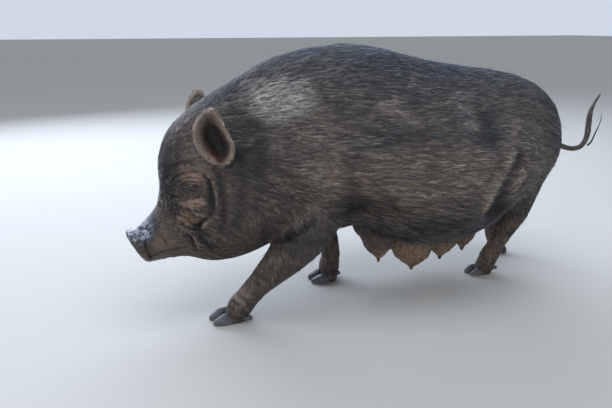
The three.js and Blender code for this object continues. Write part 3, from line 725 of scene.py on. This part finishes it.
# the head's own folds, fine wrinkles and the folds round the eyes
mesh = hide.data
points, oldFold = pointsOf(mesh), foldOf(mesh)
left = mirrored(points)
head = np.clip((skinPlan["headFrom"] / mm + 12 - left[:, 0]) / 16, 0, 1) * (left[:, 2] > 100)
snout = np.clip((-470 - left[:, 0]) / 20, 0, 1)
height = sum(foldHeight(left, *fold) for fold in headFolds)
height += sum(rise * blob(left, centre, reach) for centre, reach, rise in headBulges)
height *= foldPlan["headMore"]
height += head * (1 - 0.6 * snout) * (
    0.45 * wrinkle(points / mm * (1, 1, 1.7), 13, 8) + 0.30 * wrinkle(points / mm * (1.2, 1, 2), 6.5, 9))
for centre, reach, depth, size in wrinkled:
    net = creased(points / mm * (1, 1, 1.7), size, 31)
    net += 0.6 * creased(points / mm * (1.3, 1, 1.5), size * 0.6, 32)
    height += head * blob(left, centre, reach, 2) * depth * (0.35 - net)
_, u, v, w = fromEye(points)
around = (np.hypot(u, v * 0.9) < eyePlan["foldsReach"]) & (w > -6)
eyeRise = np.zeros(len(points))
for halfLength, middle, ends, width, rise in eyePlan["folds"]:
    share = np.clip(1 - (u / halfLength) ** 2, 0, 1)
    waver = 0.7 * np.sin(u / 4.1 + middle) + 0.5 * np.sin(u / 1.9 - 2 * middle)
    slope = 2 * (middle - ends) * u / halfLength**2
    gap = (v - ends - (middle - ends) * share - waver) / np.sqrt(1 + slope**2)
    eyeRise += around * rise * np.exp(-((gap / width) ** 2)) * np.sqrt(share)
height += eyeRise
lift(mesh, height)

# ears: hollowed on the open side, with a raised rim and a lobe at the foot
points, normals = pointsOf(mesh), normalsOf(mesh)
earFold = np.zeros(len(points))
for name in earPlaces:
    leaf, deep, edge, mine = inEar(points, name)
    way = earWay(name)
    facing = np.clip(normals @ way * 2.2 + 0.5, 0, 1) * mine
    (hollowAt, hollowReach, hollowDepth), (rimAt, rimWidth, rimHeight) = earShape["cavity"], earShape["rim"]
    hollow = blob(leaf, hollowAt, hollowReach, 1.6) * facing
    rim = np.exp(-(((edge - rimAt) / rimWidth) ** 2)) * mine * (deep < 7)
    frontRim, lobe = (blob(leaf, *earShape[key][:2]) * mine * (deep < 4) for key in ("frontRim", "lobe"))
    out = rim * rimHeight - hollow * hollowDepth
    out += frontRim * earShape["frontRim"][2] + lobe * earShape["lobe"][2]
    points += way * (out * mm)[:, None]
    # painted shade: the ear's cup is darkened through the fold; its rims and the wall round the cup are
    # painted paler
    earFold += 1.3 * hollow ** 0.7 - 0.9 * rim - 0.6 * frontRim
    earFold -= 0.75 * facing * (edge < 0.9) * (1 - hollow) ** 2
putPoints(mesh, points)

# lids: the skin is drawn over the ball, parted along the slit
aside, u, v, w = fromEye(points)
away = np.linalg.norm(aside, axis=1)
sill, opened = slitAt(u)
offSlit = np.abs(v - sill)
inside = np.clip((opened - offSlit) / 0.7 + 0.5, 0, 1) * (w > 0)
hood = eyePlan["hood"] * np.sqrt(np.clip(1 - (u / 16) ** 2, 0, 1))
hood *= np.clip((v - sill) / 1.2, 0, 1) * np.clip(1.4 - v / 9, 0, 1)
overBall = np.maximum(away, eyePlan["radius"] + eyePlan["lid"]) + hood
overBall += 0.9 * np.minimum(eyeRise, 0) * np.clip((offSlit - 2.5) / 1.5, 0, 1)
front = (w > 0) & (away < eyePlan["lidsReach"])
reach = np.where(front, overBall * (1 - inside) + (eyePlan["radius"] - eyePlan["sunk"]) * inside, away)
moved = np.array(eyePlan["centre"]) + aside * (reach / away)[:, None]
moved[:, 1] *= -np.sign(points[:, 1] + 1e-9)
points = np.where(front[:, None], moved * mm, points)
points[:, 2] = np.maximum(points[:, 2], skinPlan["offFloor"])
putPoints(mesh, points)
# painted shade: creases of the head are darkened by their depth and ridges painted paler; on the lids a net
# of fine creases, the margins of the slit and the sunk skin inside it are painted dark
newFold = np.clip(-height / foldPlan["headDark"], -1, 1) + earFold
margin = np.exp(-(((offSlit - opened) / 2.0) ** 2)) * np.exp(-((u / 15) ** 4)) * (w > 0)
lidCreaseShade = 0.35 * creased(np.stack([u, 1.8 * v, w], 1), 7, 41) * np.clip(1 - away / eyePlan["lidsReach"], 0, 1)
newFold = np.where(front, np.maximum(newFold + lidCreaseShade, np.maximum(inside, 0.9 * margin)), newFold)

# the flattest faces are merged, which leaves the folds as they are
thinned(hide, skinPlan["triangles"] / triangleCount(mesh))
mesh = hide.data
carryFold(mesh, points, oldFold + newFold)
print("head folds and lids", triangleCount(mesh))

# sow's hide: thick dry skin, wrinkled like old leather, with wet bare skin on the snout; the bump
# is the flat-lying short hair and the fine cracks between pores
snoutTip, snoutBack = (-0.520, 0.0, 0.151), (0.82, 0.0, 0.42)  # middle of the disc, and the way off it
hideSkin, tree, shader = newMaterial("driedHide")
marksAndPaintedLight = addNode(tree, "Group", node_tree=group)
at = addNode(tree, "TexCoord").outputs["Object"]
fromSnout = addNode(tree, "VectorMath", {0: at, 1: snoutTip}, operation="SUBTRACT")
back = addNode(tree, "VectorMath", {0: fromSnout, 1: snoutBack}, operation="DOT_PRODUCT")
wet = addNode(tree, "MapRange", {"Value": back.outputs["Value"], "From Min": 0.048, "From Max": 0.026},
              interpolation_type="SMOOTHSTEP")
patchy = addNode(tree, "TexNoise", {"Vector": at, "Scale": 1 / 0.006, "Detail": 3.0})
dry = addNode(tree, "MapRange",
              {"Value": patchy, "From Min": 0.35, "From Max": 0.65, "To Min": 0.50, "To Max": 0.72})
shine = addNode(tree, "MapRange",
                {"Value": patchy, "From Min": 0.35, "From Max": 0.7, "To Min": 0.12, "To Max": 0.42})
rough = addNode(tree, "Mix", {0: wet, 2: dry, 3: shine}, data_type="FLOAT")
streakAt = addNode(tree, "Mapping", {"Vector": at, "Scale": (1 / 0.030, 1 / 0.0022, 1 / 0.0022)})
streaks = addNode(tree, "TexNoise", {"Vector": streakAt, "Scale": 1.0, "Detail": 2.0})
cracks = addNode(tree, "TexVoronoi", {"Vector": at, "Scale": 1 / 0.0042, "Randomness": 1.0},
                 feature="DISTANCE_TO_EDGE")
seams = addNode(tree, "MapRange", {"Value": cracks, "From Min": 0.0, "From Max": 0.22})
grain = addNode(tree, "TexNoise", {"Vector": at, "Scale": 1 / 0.0016, "Detail": 2.0})
relief = addNode(tree, "Bump", {"Height": streaks, "Strength": 0.45, "Distance": 0.0012})
relief = addNode(tree, "Bump", {"Height": seams, "Strength": 0.35, "Distance": 0.0007, "Normal": relief})
relief = addNode(tree, "Bump", {"Height": grain, "Strength": 0.4, "Distance": 0.0005, "Normal": relief})
# painted highlights: bluish-white glints painted along the top of the wet snout
offTop = addNode(tree, "VectorMath", {0: at, 1: (-0.515, -0.008, 0.184)}, operation="DISTANCE")
topOnly = addNode(tree, "MapRange", {"Value": offTop.outputs["Value"], "From Min": 0.034, "From Max": 0.016},
                  interpolation_type="SMOOTHSTEP")
snoutGlintNoise = addNode(tree, "TexNoise", {"Vector": at, "Scale": 1 / 0.009, "Detail": 7.0, "Roughness": 0.80})
snoutGlint = addNode(tree, "MapRange", {"Value": snoutGlintNoise, "From Min": 0.50, "From Max": 0.60})
snoutGlint = addNode(tree, "Math", {0: snoutGlint, 1: topOnly}, operation="MULTIPLY")
snoutGlinted = addNode(tree, "Mix", {0: snoutGlint, 6: marksAndPaintedLight, 7: "#a9b5c3"}, data_type="RGBA").outputs[2]
setInputs(tree, shader, {"Base Color": snoutGlinted, "Roughness": rough, "Normal": relief, "IOR": 1.45})
mesh.materials.clear()
mesh.materials.append(hideSkin)
mesh.polygons.foreach_set("use_smooth", [True] * len(mesh.polygons))
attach(hide, "root")
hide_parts(*fleshNames)


def rampStops(node, stops):  # colours of a ramp by position; a new ramp has two stops
    elements = node.color_ramp.elements
    for i, (position, code) in enumerate(stops):
        stop = elements[i] if i < 2 else elements.new(position)
        stop.position, stop.color = position, linearColour(code)


# eyeball: a wet, dark brown ball with a black pupil; the clear front gives one small hard glint
# by cm from the middle of the pupil
irisStops = [(0.26, "#040303"), (0.31, "#3a2114"), (0.50, "#24140c"), (0.58, "#120b08"), (0.66, "#2e241f")]
wetEye, tree, shader = newMaterial("wetEyeball")
at = addNode(tree, "TexCoord").outputs["Object"]
apart = addNode(tree, "SeparateXYZ", {0: at})
out = addNode(tree, "Math", {0: apart.outputs["Y"]}, operation="ABSOLUTE")
oneSide = addNode(tree, "CombineXYZ", {"X": apart.outputs["X"], "Y": out, "Z": apart.outputs["Z"]})
pupilAt = (np.array(eyePlan["centre"]) + eyeOut * eyePlan["radius"]) * (1, -1, 1) * mm
fromPupil = addNode(tree, "VectorMath", {0: oneSide, 1: tuple(pupilAt)}, operation="DISTANCE")
inCm = addNode(tree, "Math", {0: fromPupil.outputs["Value"], 1: 100.0}, operation="MULTIPLY")
iris = addNode(tree, "ValToRGB", {0: inCm})
rampStops(iris, irisStops)
setInputs(tree, shader, {"Base Color": iris, "Roughness": 0.08, "IOR": 1.38, "Coat Weight": 0.6})
for side, name in ((1, "left"), (-1, "right")):
    bm = bmesh.new()
    bmesh.ops.create_uvsphere(bm, u_segments=40, v_segments=24, radius=eyePlan["radius"] * mm)
    look = Vector(eyeOut * (1, side, 1))
    for vert in bm.verts:  # the clear front stands a little proud
        facing = vert.co.normalized().dot(look)
        vert.co *= 1 + 0.05 * max(0, (facing - 0.8) / 0.2)
    bmesh.ops.translate(bm, verts=bm.verts, vec=Vector(eyePlan["centre"]) * Vector((1, side, 1)) * mm)
    eyeball = pieceFrom(bm, f"eyeball_{name}", wetEye)
    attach(eyeball, "root")
    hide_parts(f"eye_{name}")
print("eyes")


# hooves
hoofPlan = {"voxel": 1.4 * mm, "grow": -0.1 * mm, "rounds": 4, "worn": 1.2 * mm}  # worn flat up to there
clawNames = [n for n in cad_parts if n.endswith("claw")]
# hoof horn: dark grey, grown in rings down from the coronet, chalky and worn at the ground edge
hornStops = [(0.16, "#77716a"), (0.28, "#4b4d52"), (0.58, "#2d3036"), (0.80, "#221e1b")]  # 1 is 5 cm up
hoofHorn, tree, shader = newMaterial("wornHoofHorn")
at = addNode(tree, "TexCoord").outputs["Object"]
apart = addNode(tree, "SeparateXYZ", {0: at})
cloud = addNode(tree, "TexNoise", {"Vector": at, "Scale": 1 / 0.009, "Detail": 5.0})
level = addNode(tree, "Math", {0: cloud, 1: 0.016, 2: apart.outputs["Z"]}, operation="MULTIPLY_ADD")
share = addNode(tree, "Math", {0: level, 1: 20.0}, operation="MULTIPLY")
tone = addNode(tree, "ValToRGB", {0: share})
rampStops(tone, hornStops)
ringAt = addNode(tree, "Mapping", {"Vector": at, "Scale": (1 / 0.020, 1 / 0.020, 1 / 0.0030)})
rings = addNode(tree, "TexNoise", {"Vector": ringAt, "Scale": 1.0, "Detail": 2.0})
grain = addNode(tree, "TexNoise", {"Vector": at, "Scale": 1 / 0.0012, "Detail": 2.0})
relief = addNode(tree, "Bump", {"Height": rings, "Strength": 0.5, "Distance": 0.0012})
relief = addNode(tree, "Bump", {"Height": grain, "Strength": 0.3, "Distance": 0.0004, "Normal": relief})
rough = addNode(tree, "MapRange", {"Value": cloud, "To Min": 0.35, "To Max": 0.7})
setInputs(tree, shader, {"Base Color": tone, "Roughness": rough, "Normal": relief, "IOR": 1.54})

hooves = remeshed(gathered(clawNames, hoofPlan["grow"]), "hooves", hoofPlan["voxel"])
points, edges = pointsOf(hooves.data), edgesOf(hooves.data)
onGround = points[:, 2] < hoofPlan["worn"]
points = relaxed(points, edges, hoofPlan["rounds"])
points[onGround, 2] = 0.0
putPoints(hooves.data, points)
hooves.data.materials.append(hoofHorn)
hooves.data.polygons.foreach_set("use_smooth", [True] * len(hooves.data.polygons))
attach(hooves, "root")
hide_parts(*clawNames)
print("hooves", len(hooves.data.polygons))


# the coat: thin tapered bristles, each three-sided and closed, lying back along the body
# kind of ground: tufts for each square cm, length, width, height of the tips, in mm
coatPlan = {
    "muzzle": (11, 4.5, 0.35, 0.8), "head": (19, 9.5, 0.50, 1.5), "neck": (13.5, 18, 0.60, 2.5),
    "shoulders": (12.5, 25, 0.66, 2.4), "belly": (12.5, 25, 0.66, 2.2), "rump": (12.5, 23, 0.66, 2.3),
    "udder_left": (3, 9, 0.45, 1.8), "udder_right": (3, 9, 0.45, 1.8),
    "ear_left": (14, 8, 0.40, 1.5), "ear_right": (14, 8, 0.40, 1.5),
    "upper": (12, 17, 0.65, 1.9), "lower": (13, 11, 0.55, 1.4), "tail": (26, 14, 0.45, 1.2),
    "snout_disc": (0, 1, 1, 1), "eye": (0, 1, 1, 1),
}
barer = [  # centre, reach and share of the coat that is missing
    ((-428, -76, 208), (32, 30, 24), 0.75), ((-430, -80, 275), (26, 26, 34), 0.55),
    ((-480, -35, 170), (30, 40, 34), 0.6), ((148, -160, 186), (26, 44, 28), 0.92),
    ((-152, -135, 212), (24, 36, 20), 0.8),
]
curls = [  # centre, reach in mm and strength of the curl
    ((-470, -10, 262), (26, 62, 44), 1.0), ((-462, -42, 228), (18, 24, 18), 0.8),
    ((-424, -66, 185), (34, 28, 26), 0.6),
]
lengthSpread = (0.6, 1.35)
strayShare = 0.010  # bristles that stand away from the coat
clumps = {  # bristles that dirt and damp hold together
    "each": 5,
    "draw": 0.45,  # share of the way that a tip leans to its leader
    "most": 6 * mm,
    "tone": 0.22,
    "stretch": 0.30,  # a clump is longer along the body by one over this
}
offFloor = 0.5 * mm  # no bristle goes lower
pieceLimit = 19500  # tufts in one piece
patchSize = 0.003  # of a tuft on the bake map

# pig bristle: smooth coarse hair, black to grey-brown, with a soft gleam along its length
bristle, tree, shader = newMaterial("pigBristle")
marksAndPaintedLight = addNode(tree, "Group", node_tree=group)
shade = addNode(tree, "Attribute", attribute_name="shade").outputs["Fac"]
inFold = addNode(tree, "Attribute", attribute_name="fold").outputs["Fac"]
dark = addNode(tree, "Mix", {0: 0.68, 6: marksAndPaintedLight, 7: "#0d0c0d"}, data_type="RGBA").outputs[2]
lighter = addNode(tree, "Gamma", {"Color": marksAndPaintedLight, "Gamma": 0.58})
lighter = addNode(tree, "VectorMath", {0: lighter, "Scale": 1.45}, operation="SCALE")
pale = addNode(tree, "Mix", {0: 0.08, 6: lighter, 7: "#bdb2a6"}, data_type="RGBA").outputs[2]
steps = addNode(tree, "MapRange", {"Value": shade, "From Min": 0.22, "From Max": 0.9},
                interpolation_type="SMOOTHSTEP")
both = addNode(tree, "Mix", {0: steps, 6: dark, 7: pale}, data_type="RGBA").outputs[2]
# painted shade: bristles in creases and hollows are darkened, down to 0.18 of their colour
sunk = addNode(tree, "MapRange", {"Value": inFold, "From Max": 0.9, "To Min": 1.0, "To Max": 0.18})
shaded = addNode(tree, "VectorMath", {0: both, "Scale": sunk}, operation="SCALE")
setInputs(tree, shader, {
    "Base Color": shaded, "Roughness": 0.36, "IOR": 1.55,
    "Sheen Weight": 0.25, "Sheen Roughness": 0.35, "Sheen Tint": "#b9cbe2",
})

mesh.calc_loop_triangles()
corners = np.empty(len(mesh.loop_triangles) * 3, np.int32)
mesh.loop_triangles.foreach_get("vertices", corners)
corners = corners.reshape(-1, 3)
points, normals, edges = pointsOf(mesh), normalsOf(mesh), edgesOf(mesh)
part, foldAt = partsAt(points), foldOf(mesh)
skinTree = BVHTree.FromPolygons(points.tolist(), corners.tolist())

# the tail's middle line seen from the side, x and z in mm
tailWay = [(363, 290), (393, 284), (423, 274), (451, 264), (479, 258), (502, 263),
           (515, 284), (515, 310), (515, 338), (524, 362), (538, 386)]


def lieOf(points, part):  # the way the coat lies, before it is laid flat on the skin
    x, y, z = points.T
    zero, one = np.zeros(len(x)), np.ones(len(x))
    lie = np.stack([one, zero, -0.10 - 0.10 * np.clip((0.30 - z) / 0.2, 0, 1)], 1)
    lie[:, 2] -= 1.1 * np.clip((x - 0.20) / 0.19, 0, 1)
    face, leg = onParts(part, ["head", "muzzle"]), onParts(part, ["upper", "lower"])
    down = 1.4 * np.clip((np.abs(y) - 0.03) / 0.06, 0, 1) * np.clip((0.30 - z) / 0.05, 0.35, 1)
    lie[face] = np.stack([0.85 * one, zero, 0.55 - down], 1)[face]
    lie[leg] = np.stack([0.5 * np.clip((z - 0.12) / 0.1, 0, 1) + 0.12, zero, -one], 1)[leg]
    lie[onParts(part, earNames)] = (0.1, 0, 1)
    lie[onParts(part, udderNames)] = (0.5, 0, -1)
    tail, line = onParts(part, ["tail"]), np.array(tailWay) * mm
    station = np.argmin(((points[tail][:, None, (0, 2)] - line) ** 2).sum(2), 1)
    lie[np.ix_(tail, (0, 2))] = np.gradient(line, axis=0)[station]
    lie[tail, 1] = 0
    return unit(lie)


lie = relaxed(lieOf(points, part), edges, 14)
lie = unit(lie - normals * (lie * normals).sum(1)[:, None])
table = np.array([coatPlan[name] for name in partNames], float)
want = relaxed(table[part], edges, 8)


def boxRound(nodes):  # low and high corner of the box round some nodes
    lows, highs = zip(*(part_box(node) for node in nodes))
    return np.array(lows).min(0), np.array(highs).max(0)


def turned(a, b):  # share of a turn
    return np.arctan2(a, b) / (2 * math.pi) + 0.5


# where each kind of part lies on the bake map: left, bottom, width, height and the step to the next
mapPlan = {
    "body": (0.01, 0.01, 0.98, 0.60),
    "leg": (0.01, 0.64, 0.22, 0.15, 0.25),
    "small": (0.01, 0.83, 0.17, 0.15, 0.20),
}


def unwrapped(points, part):  # the skin's own unwrap: each part unrolled round its axis
    x, y, z = points.T
    left, bottom, width, height = mapPlan["body"]
    axis = 0.285 - 0.14 * np.clip((-0.36 - x) / 0.16, 0, 1)  # the head hangs lower than the trunk
    flat = np.stack([left + width * (x + 0.54), bottom + height * turned(y, z - axis)], 1)
    left, bottom, width, height, step = mapPlan["leg"]
    for i, leg in enumerate(legNames):
        low, high = boxRound([f"{leg}_upper", f"{leg}_lower"])
        inBox = (points > low - partPlan["margin"]) & (points < high + partPlan["margin"])
        mine = onParts(part, ["upper", "lower"]) & inBox.all(1)
        axis = (low[0] + high[0]) / 2
        if "fore" in leg:  # it slants
            axis = low[0] + (high[0] - low[0]) * (z - low[2]) / (high[2] - low[2])
        u = left + step * i + width * turned(y - (low[1] + high[1]) / 2, x - axis)
        flat[mine] = np.stack([u, bottom + height * z / 0.28], 1)[mine]
    left, bottom, width, height, step = mapPlan["small"]
    for i, name in enumerate([*earNames, "tail", *udderNames]):
        low, high = boxRound([name])
        a, b, along = (1, 2, 0) if name == "tail" else (0, 1, 2)
        mine, aside = onParts(part, [name]), points - (low + high) / 2
        u = left + step * i + width * turned(aside[:, a], aside[:, b])
        rise = (points[:, along] - low[along]) / (high[along] - low[along])
        flat[mine] = np.stack([u, bottom + height * rise], 1)[mine]
    return flat


flatMap = unwrapped(points, part)


def strandPiece(name, paths, up, width, flat, shade, fold):
    # one closed three-sided spike for each of paths (tufts x stations x 3), whose last station is its tip
    count, rings = len(paths), paths.shape[1] - 1
    run = unit(np.gradient(paths, axis=1))
    side = unit(np.cross(run, up))
    above = np.cross(side, run)
    thick = width[:, None, None, None] * (1 - 0.55 * np.arange(rings) / rings)[None, :, None, None]
    shape = np.array([(-0.5, -0.15), (0.5, -0.15), (0, 0.35)])[:, :, None]
    ring = side[:, :rings, None] * shape[:, 0] + above[:, :rings, None] * shape[:, 1]
    ring = paths[:, :rings, None] + thick * ring
    verts = np.concatenate([ring.reshape(count, rings * 3, 3), paths[:, rings:]], 1)
    faces = [(0, 2, 1)]
    for k in range(rings - 1):
        for j in range(3):
            a, b = 3 * k + j, 3 * k + (j + 1) % 3
            faces += [(a, b, b + 3), (a, b + 3, a + 3)]
    faces += [(3 * rings - 3 + j, 3 * rings - 3 + (j + 1) % 3, 3 * rings) for j in range(3)]
    faces = np.array(faces)
    per = rings * 3 + 1
    index = (faces[None] + per * np.arange(count)[:, None, None]).reshape(-1)
    mesh = bpy.data.meshes.new(name)
    mesh.vertices.add(count * per)
    mesh.vertices.foreach_set("co", verts.astype(np.float32).ravel())
    mesh.loops.add(len(index))
    mesh.loops.foreach_set("vertex_index", index.astype(np.int32))
    mesh.polygons.add(len(index) // 3)
    mesh.polygons.foreach_set("loop_start", np.arange(0, len(index), 3, dtype=np.int32))
    mesh.polygons.foreach_set("use_smooth", np.ones(len(index) // 3, bool))
    mesh.update(calc_edges=True)
    local = np.concatenate([np.tile([(-0.5, 0), (0.5, 0), (0, 0)], (rings, 1)), [(0, 0)]]) * patchSize
    local[:, 1] = (np.minimum(np.arange(per) // 3, rings) / rings - 0.5) * patchSize
    bake = mesh.uv_layers.new(name="OFBake")
    spread = (flat[:, None] + local[None]).reshape(-1, 2)[index]
    bake.data.foreach_set("uv", spread.astype(np.float32).ravel())
    for key, value in (("shade", shade), ("fold", fold)):
        attribute = mesh.attributes.new(key, "FLOAT", "POINT")
        attribute.data.foreach_set("value", np.repeat(value, per).astype(np.float32))
    mesh.materials.append(bristle)
    piece = bpy.data.objects.new(name, mesh)
    scene.collection.objects.link(piece)
    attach(piece, "root")
    return piece


def sampled(perFace, seed):  # roots spread evenly over the skin, so many for each face
    dice = np.random.default_rng(seed)
    sums = np.cumsum(perFace)
    count = int(sums[-1])
    face = np.searchsorted(sums, (np.arange(count) + dice.random(count)) * sums[-1] / count)
    face = np.minimum(face, len(perFace) - 1)
    a, b = dice.random(count), dice.random(count)
    flip = a + b > 1
    a[flip], b[flip] = 1 - a[flip], 1 - b[flip]
    weight = np.stack([1 - a - b, a, b], 1)
    return face, weight


def across(values, face, weight):  # a value of the skin's points, read at the roots
    return (values[corners[face]] * weight.reshape(len(face), 3, *([1] * (values.ndim - 1)))).sum(1)


def laidPaths(root, normal, lie, length, tip, bow, stations):  # follows the skin round its curves
    aside = np.cross(normal, lie)
    paths = np.empty((len(root), stations + 1, 3))
    ups = np.empty_like(paths)
    paths[:, 0], ups[:, 0] = root - normal * 0.5 * mm, normal
    for k in range(1, stations + 1):
        s = k / stations
        aim = root + lie * (length * s)[:, None] + aside * (bow * s * s)[:, None]
        high = tip * (0.25 + 0.75 * s)
        for i in range(len(root)):
            at, facing, _, _ = skinTree.find_nearest(aim[i])
            up = normal[i] * 0.5 + np.array(facing) * 0.5
            up /= math.sqrt(up @ up) + 1e-9
            paths[i, k] = np.array(at) + up * high[i]
            ups[i, k] = up
    return paths, ups


# how many bristles each face of the skin carries
triangles = points[corners]
middles, facings = triangles.mean(1), normals[corners].mean(1)
sides = triangles[:, 1:] - triangles[:, :1]
areas = np.linalg.norm(np.cross(sides[:, 0], sides[:, 1]), axis=1) / 2
density = want[corners].mean(1)[:, 0] * 1e4 * 1.0  # for each square metre
# bare skin: snout, eye slit and lids, inside of the ears
density *= np.clip(((middles - snoutTip) @ snoutBack - 0.028) / 0.03, 0, 1)
eyeGap = np.linalg.norm(mirrored(middles) - eyePlan["centre"], axis=1)
density *= np.clip((eyeGap - 13) / 14, 0, 1)
for centre, reach, share in barer:
    density *= 1 - share * blob(mirrored(middles), centre, reach, 2)
earRim = np.zeros(len(middles))
for name in earPlaces:
    _, _, edge, mine = inEar(middles, name)
    density *= 1 - 0.92 * mine * (edge < 0.86) * (facings @ earWay(name) > 0)
    earRim = np.maximum(earRim, mine * np.exp(-(((edge - earShape["rim"][0]) / 0.12) ** 2)))

# roots, and what the skin says there
face, weight = sampled(areas * density, 11)
root, normal = across(points, face, weight), unit(across(normals, face, weight))
way, plan = across(lie, face, weight), across(want, face, weight)
crease, flat = across(foldAt, face, weight), flatMap[corners[face, 0]]
rootPart = part[corners[face, 0]]
count = len(root)

# clumps: every bristle leans towards its leader and takes some of its bend and tone
leaders = chance.choice(count, count // clumps["each"], replace=False)
squeeze = np.array((clumps["stretch"], 1, 1))
leaderTree = KDTree(len(leaders))
for i, leader in enumerate(leaders):
    leaderTree.insert(root[leader] * squeeze, i)
leaderTree.balance()
leader = leaders[[leaderTree.find(point)[1] for point in root * squeeze]]
ownBend = chance.normal(0, 0.06, count)
bend = 0.09 * wrinkle(root / mm, 70, 21) + ownBend[leader] + ownBend
way = unit(way * np.cos(bend)[:, None] + np.cross(normal, way) * np.sin(bend)[:, None])
length = plan[:, 1] * chance.uniform(*lengthSpread, count) * mm
drawn = root[leader] - root
drawn -= normal * (drawn * normal).sum(1)[:, None] + way * (drawn * way).sum(1)[:, None]
drawn *= np.clip(clumps["most"] / (np.linalg.norm(drawn, axis=1) + 1e-9), 0, 1)[:, None]
way = unit(way * length[:, None] + drawn * clumps["draw"])

# curls stand higher, are thicker and bend aside, and each is either pale or dark
curl = sum(strength * blob(mirrored(root), centre, reach, 2) for centre, reach, strength in curls).clip(0, 1)
tip = plan[:, 3] * chance.uniform(0.25, 1.1, count) * (1 + 2.0 * curl) * mm
bow = curl * length * (0.7 * ownBend[leader] / 0.06 + chance.normal(0, 0.3, count)).clip(-1.1, 1.1)
width = plan[:, 2] * chance.uniform(0.7, 1.25, count) * (1 + 1.3 * curl) * mm
ownTone = chance.normal(0, 1, count)
paleCurl = chance.random(count) < 0.24
shade = chance.beta(1.4, 3.4, count) + clumps["tone"] * ownTone[leader] + 0.08 * wrinkle(root / mm, 35, 22)
shade += curl * (np.where(paleCurl, 0.95, 0.05) - shade)
greyHair = onParts(rootPart, ["head", "muzzle", "neck"]) & (curl < 0.4) & (chance.random(count) < 0.14)
shade = np.clip(shade + 0.8 * earRim[face] + 0.6 * greyHair, 0, 1)
stray = chance.random(count) < strayShare
stray &= ~onParts(rootPart, ["muzzle", *udderNames, "tail"])
lifted = np.where(stray, chance.uniform(0.10, 0.35, count) * length, 0)
paths, ups = laidPaths(root, normal, way, length, tip + lifted, bow, 2)
paths[..., 2] = np.maximum(paths[..., 2], offFloor)

groups = {
    "Head": ["head", "muzzle"], "Neck": ["neck"], "Shoulders": ["shoulders"], "Belly": ["belly", *udderNames],
    "Rump": ["rump"], "Ears": earNames, "Legs": ["upper", "lower"], "Tail": ["tail"],
}
total = 0
for key, names in groups.items():
    mine = np.where(onParts(rootPart, names))[0]
    mine = mine[np.argsort(root[mine, 1])]
    for i, some in enumerate(np.array_split(mine, math.ceil(len(mine) / pieceLimit))):
        piece = strandPiece(f"coat{key}{i + 1}", paths[some], ups[some], width[some], flat[some], shade[some],
                            crease[some])
        total += len(piece.data.polygons)
        print(piece.name, len(some), len(piece.data.polygons))

# long hairs at the end of the tail, and a lock of them that has parted from it
tailHair = {"width": 0.6 * mm, "map": (0.45, 0.95), "mapStep": 0.02}
locks = [  # hairs, spread in mm, and the line they follow behind the tail, x and z in mm
    (70, 1.7, [(521, 264), (530, 271), (537, 288), (546, 306), (551, 322), (550, 343)]),
    (60, 2.2, [(515, 340), (519, 352), (525, 362), (532, 371), (537, 379), (540, 387)]),
]
for i, (hairs, spread, line) in enumerate(locks):
    path = smoothLine([(x, 0, z) for x, z in line], 4)
    stations = np.linspace(0, 1, 8)
    share = chance.uniform(0.55, 1.0, hairs)[:, None] * stations
    along = share * (len(path) - 1)
    at = np.stack([np.interp(along, np.arange(len(path)), path[:, k]) for k in range(3)], 2)
    off = chance.normal(0, spread / 2, (hairs, 1, 3)) * (1.1 - 0.8 * stations[None, :, None])
    hairPaths = (at + off) * mm
    spot = (tailHair["map"][0], tailHair["map"][1] + tailHair["mapStep"] * i)
    piece = strandPiece(
        f"coatTailLock{i + 1}", hairPaths, np.broadcast_to((0, 1, 0), hairPaths.shape),
        np.full(hairs, tailHair["width"]), np.tile(spot, (hairs, 1)), chance.uniform(0, 0.3, hairs),
        np.full(hairs, 0.4))
    total += len(piece.data.polygons)

lashPlan = {"hairs": 34, "length": 9, "width": 0.5, "droop": 5, "map": (0.45, 0.90)}  # of one upper lid, mm
for side, name in ((1, "Left"), (-1, "Right")):
    u = chance.uniform(-11.5, 12.5, lashPlan["hairs"])
    sill, opened = slitAt(u)
    v = sill + opened + 0.4
    w = np.sqrt((eyePlan["radius"] + eyePlan["lid"]) ** 2 - (0.8 * u) ** 2 - v**2)
    s = np.linspace(0, 1, 6)[None, :, None]
    length = lashPlan["length"] * chance.uniform(0.6, 1.2, lashPlan["hairs"])[:, None, None]
    rootAt = np.array(eyePlan["centre"]) + np.stack([u, v, w], 1) @ np.stack([eyeAlong, eyeUp, eyeOut])
    fan = eyeOut * 0.75 + eyeAlong * (u / 22 + chance.normal(0, 0.12, len(u)))[:, None]
    lashPaths = rootAt[:, None] + fan[:, None] * length * s - eyeUp * lashPlan["droop"] * s * s
    ups = np.broadcast_to(eyeUp * (1, side, 1), lashPaths.shape)
    piece = strandPiece(
        f"lashes{name}", lashPaths * (1, side, 1) * mm, ups, np.full(len(u), lashPlan["width"] * mm),
        np.tile(lashPlan["map"], (len(u), 1)), np.zeros(len(u)), np.full(len(u), 0.8))
    total += len(piece.data.polygons)
print("coat", count, total)
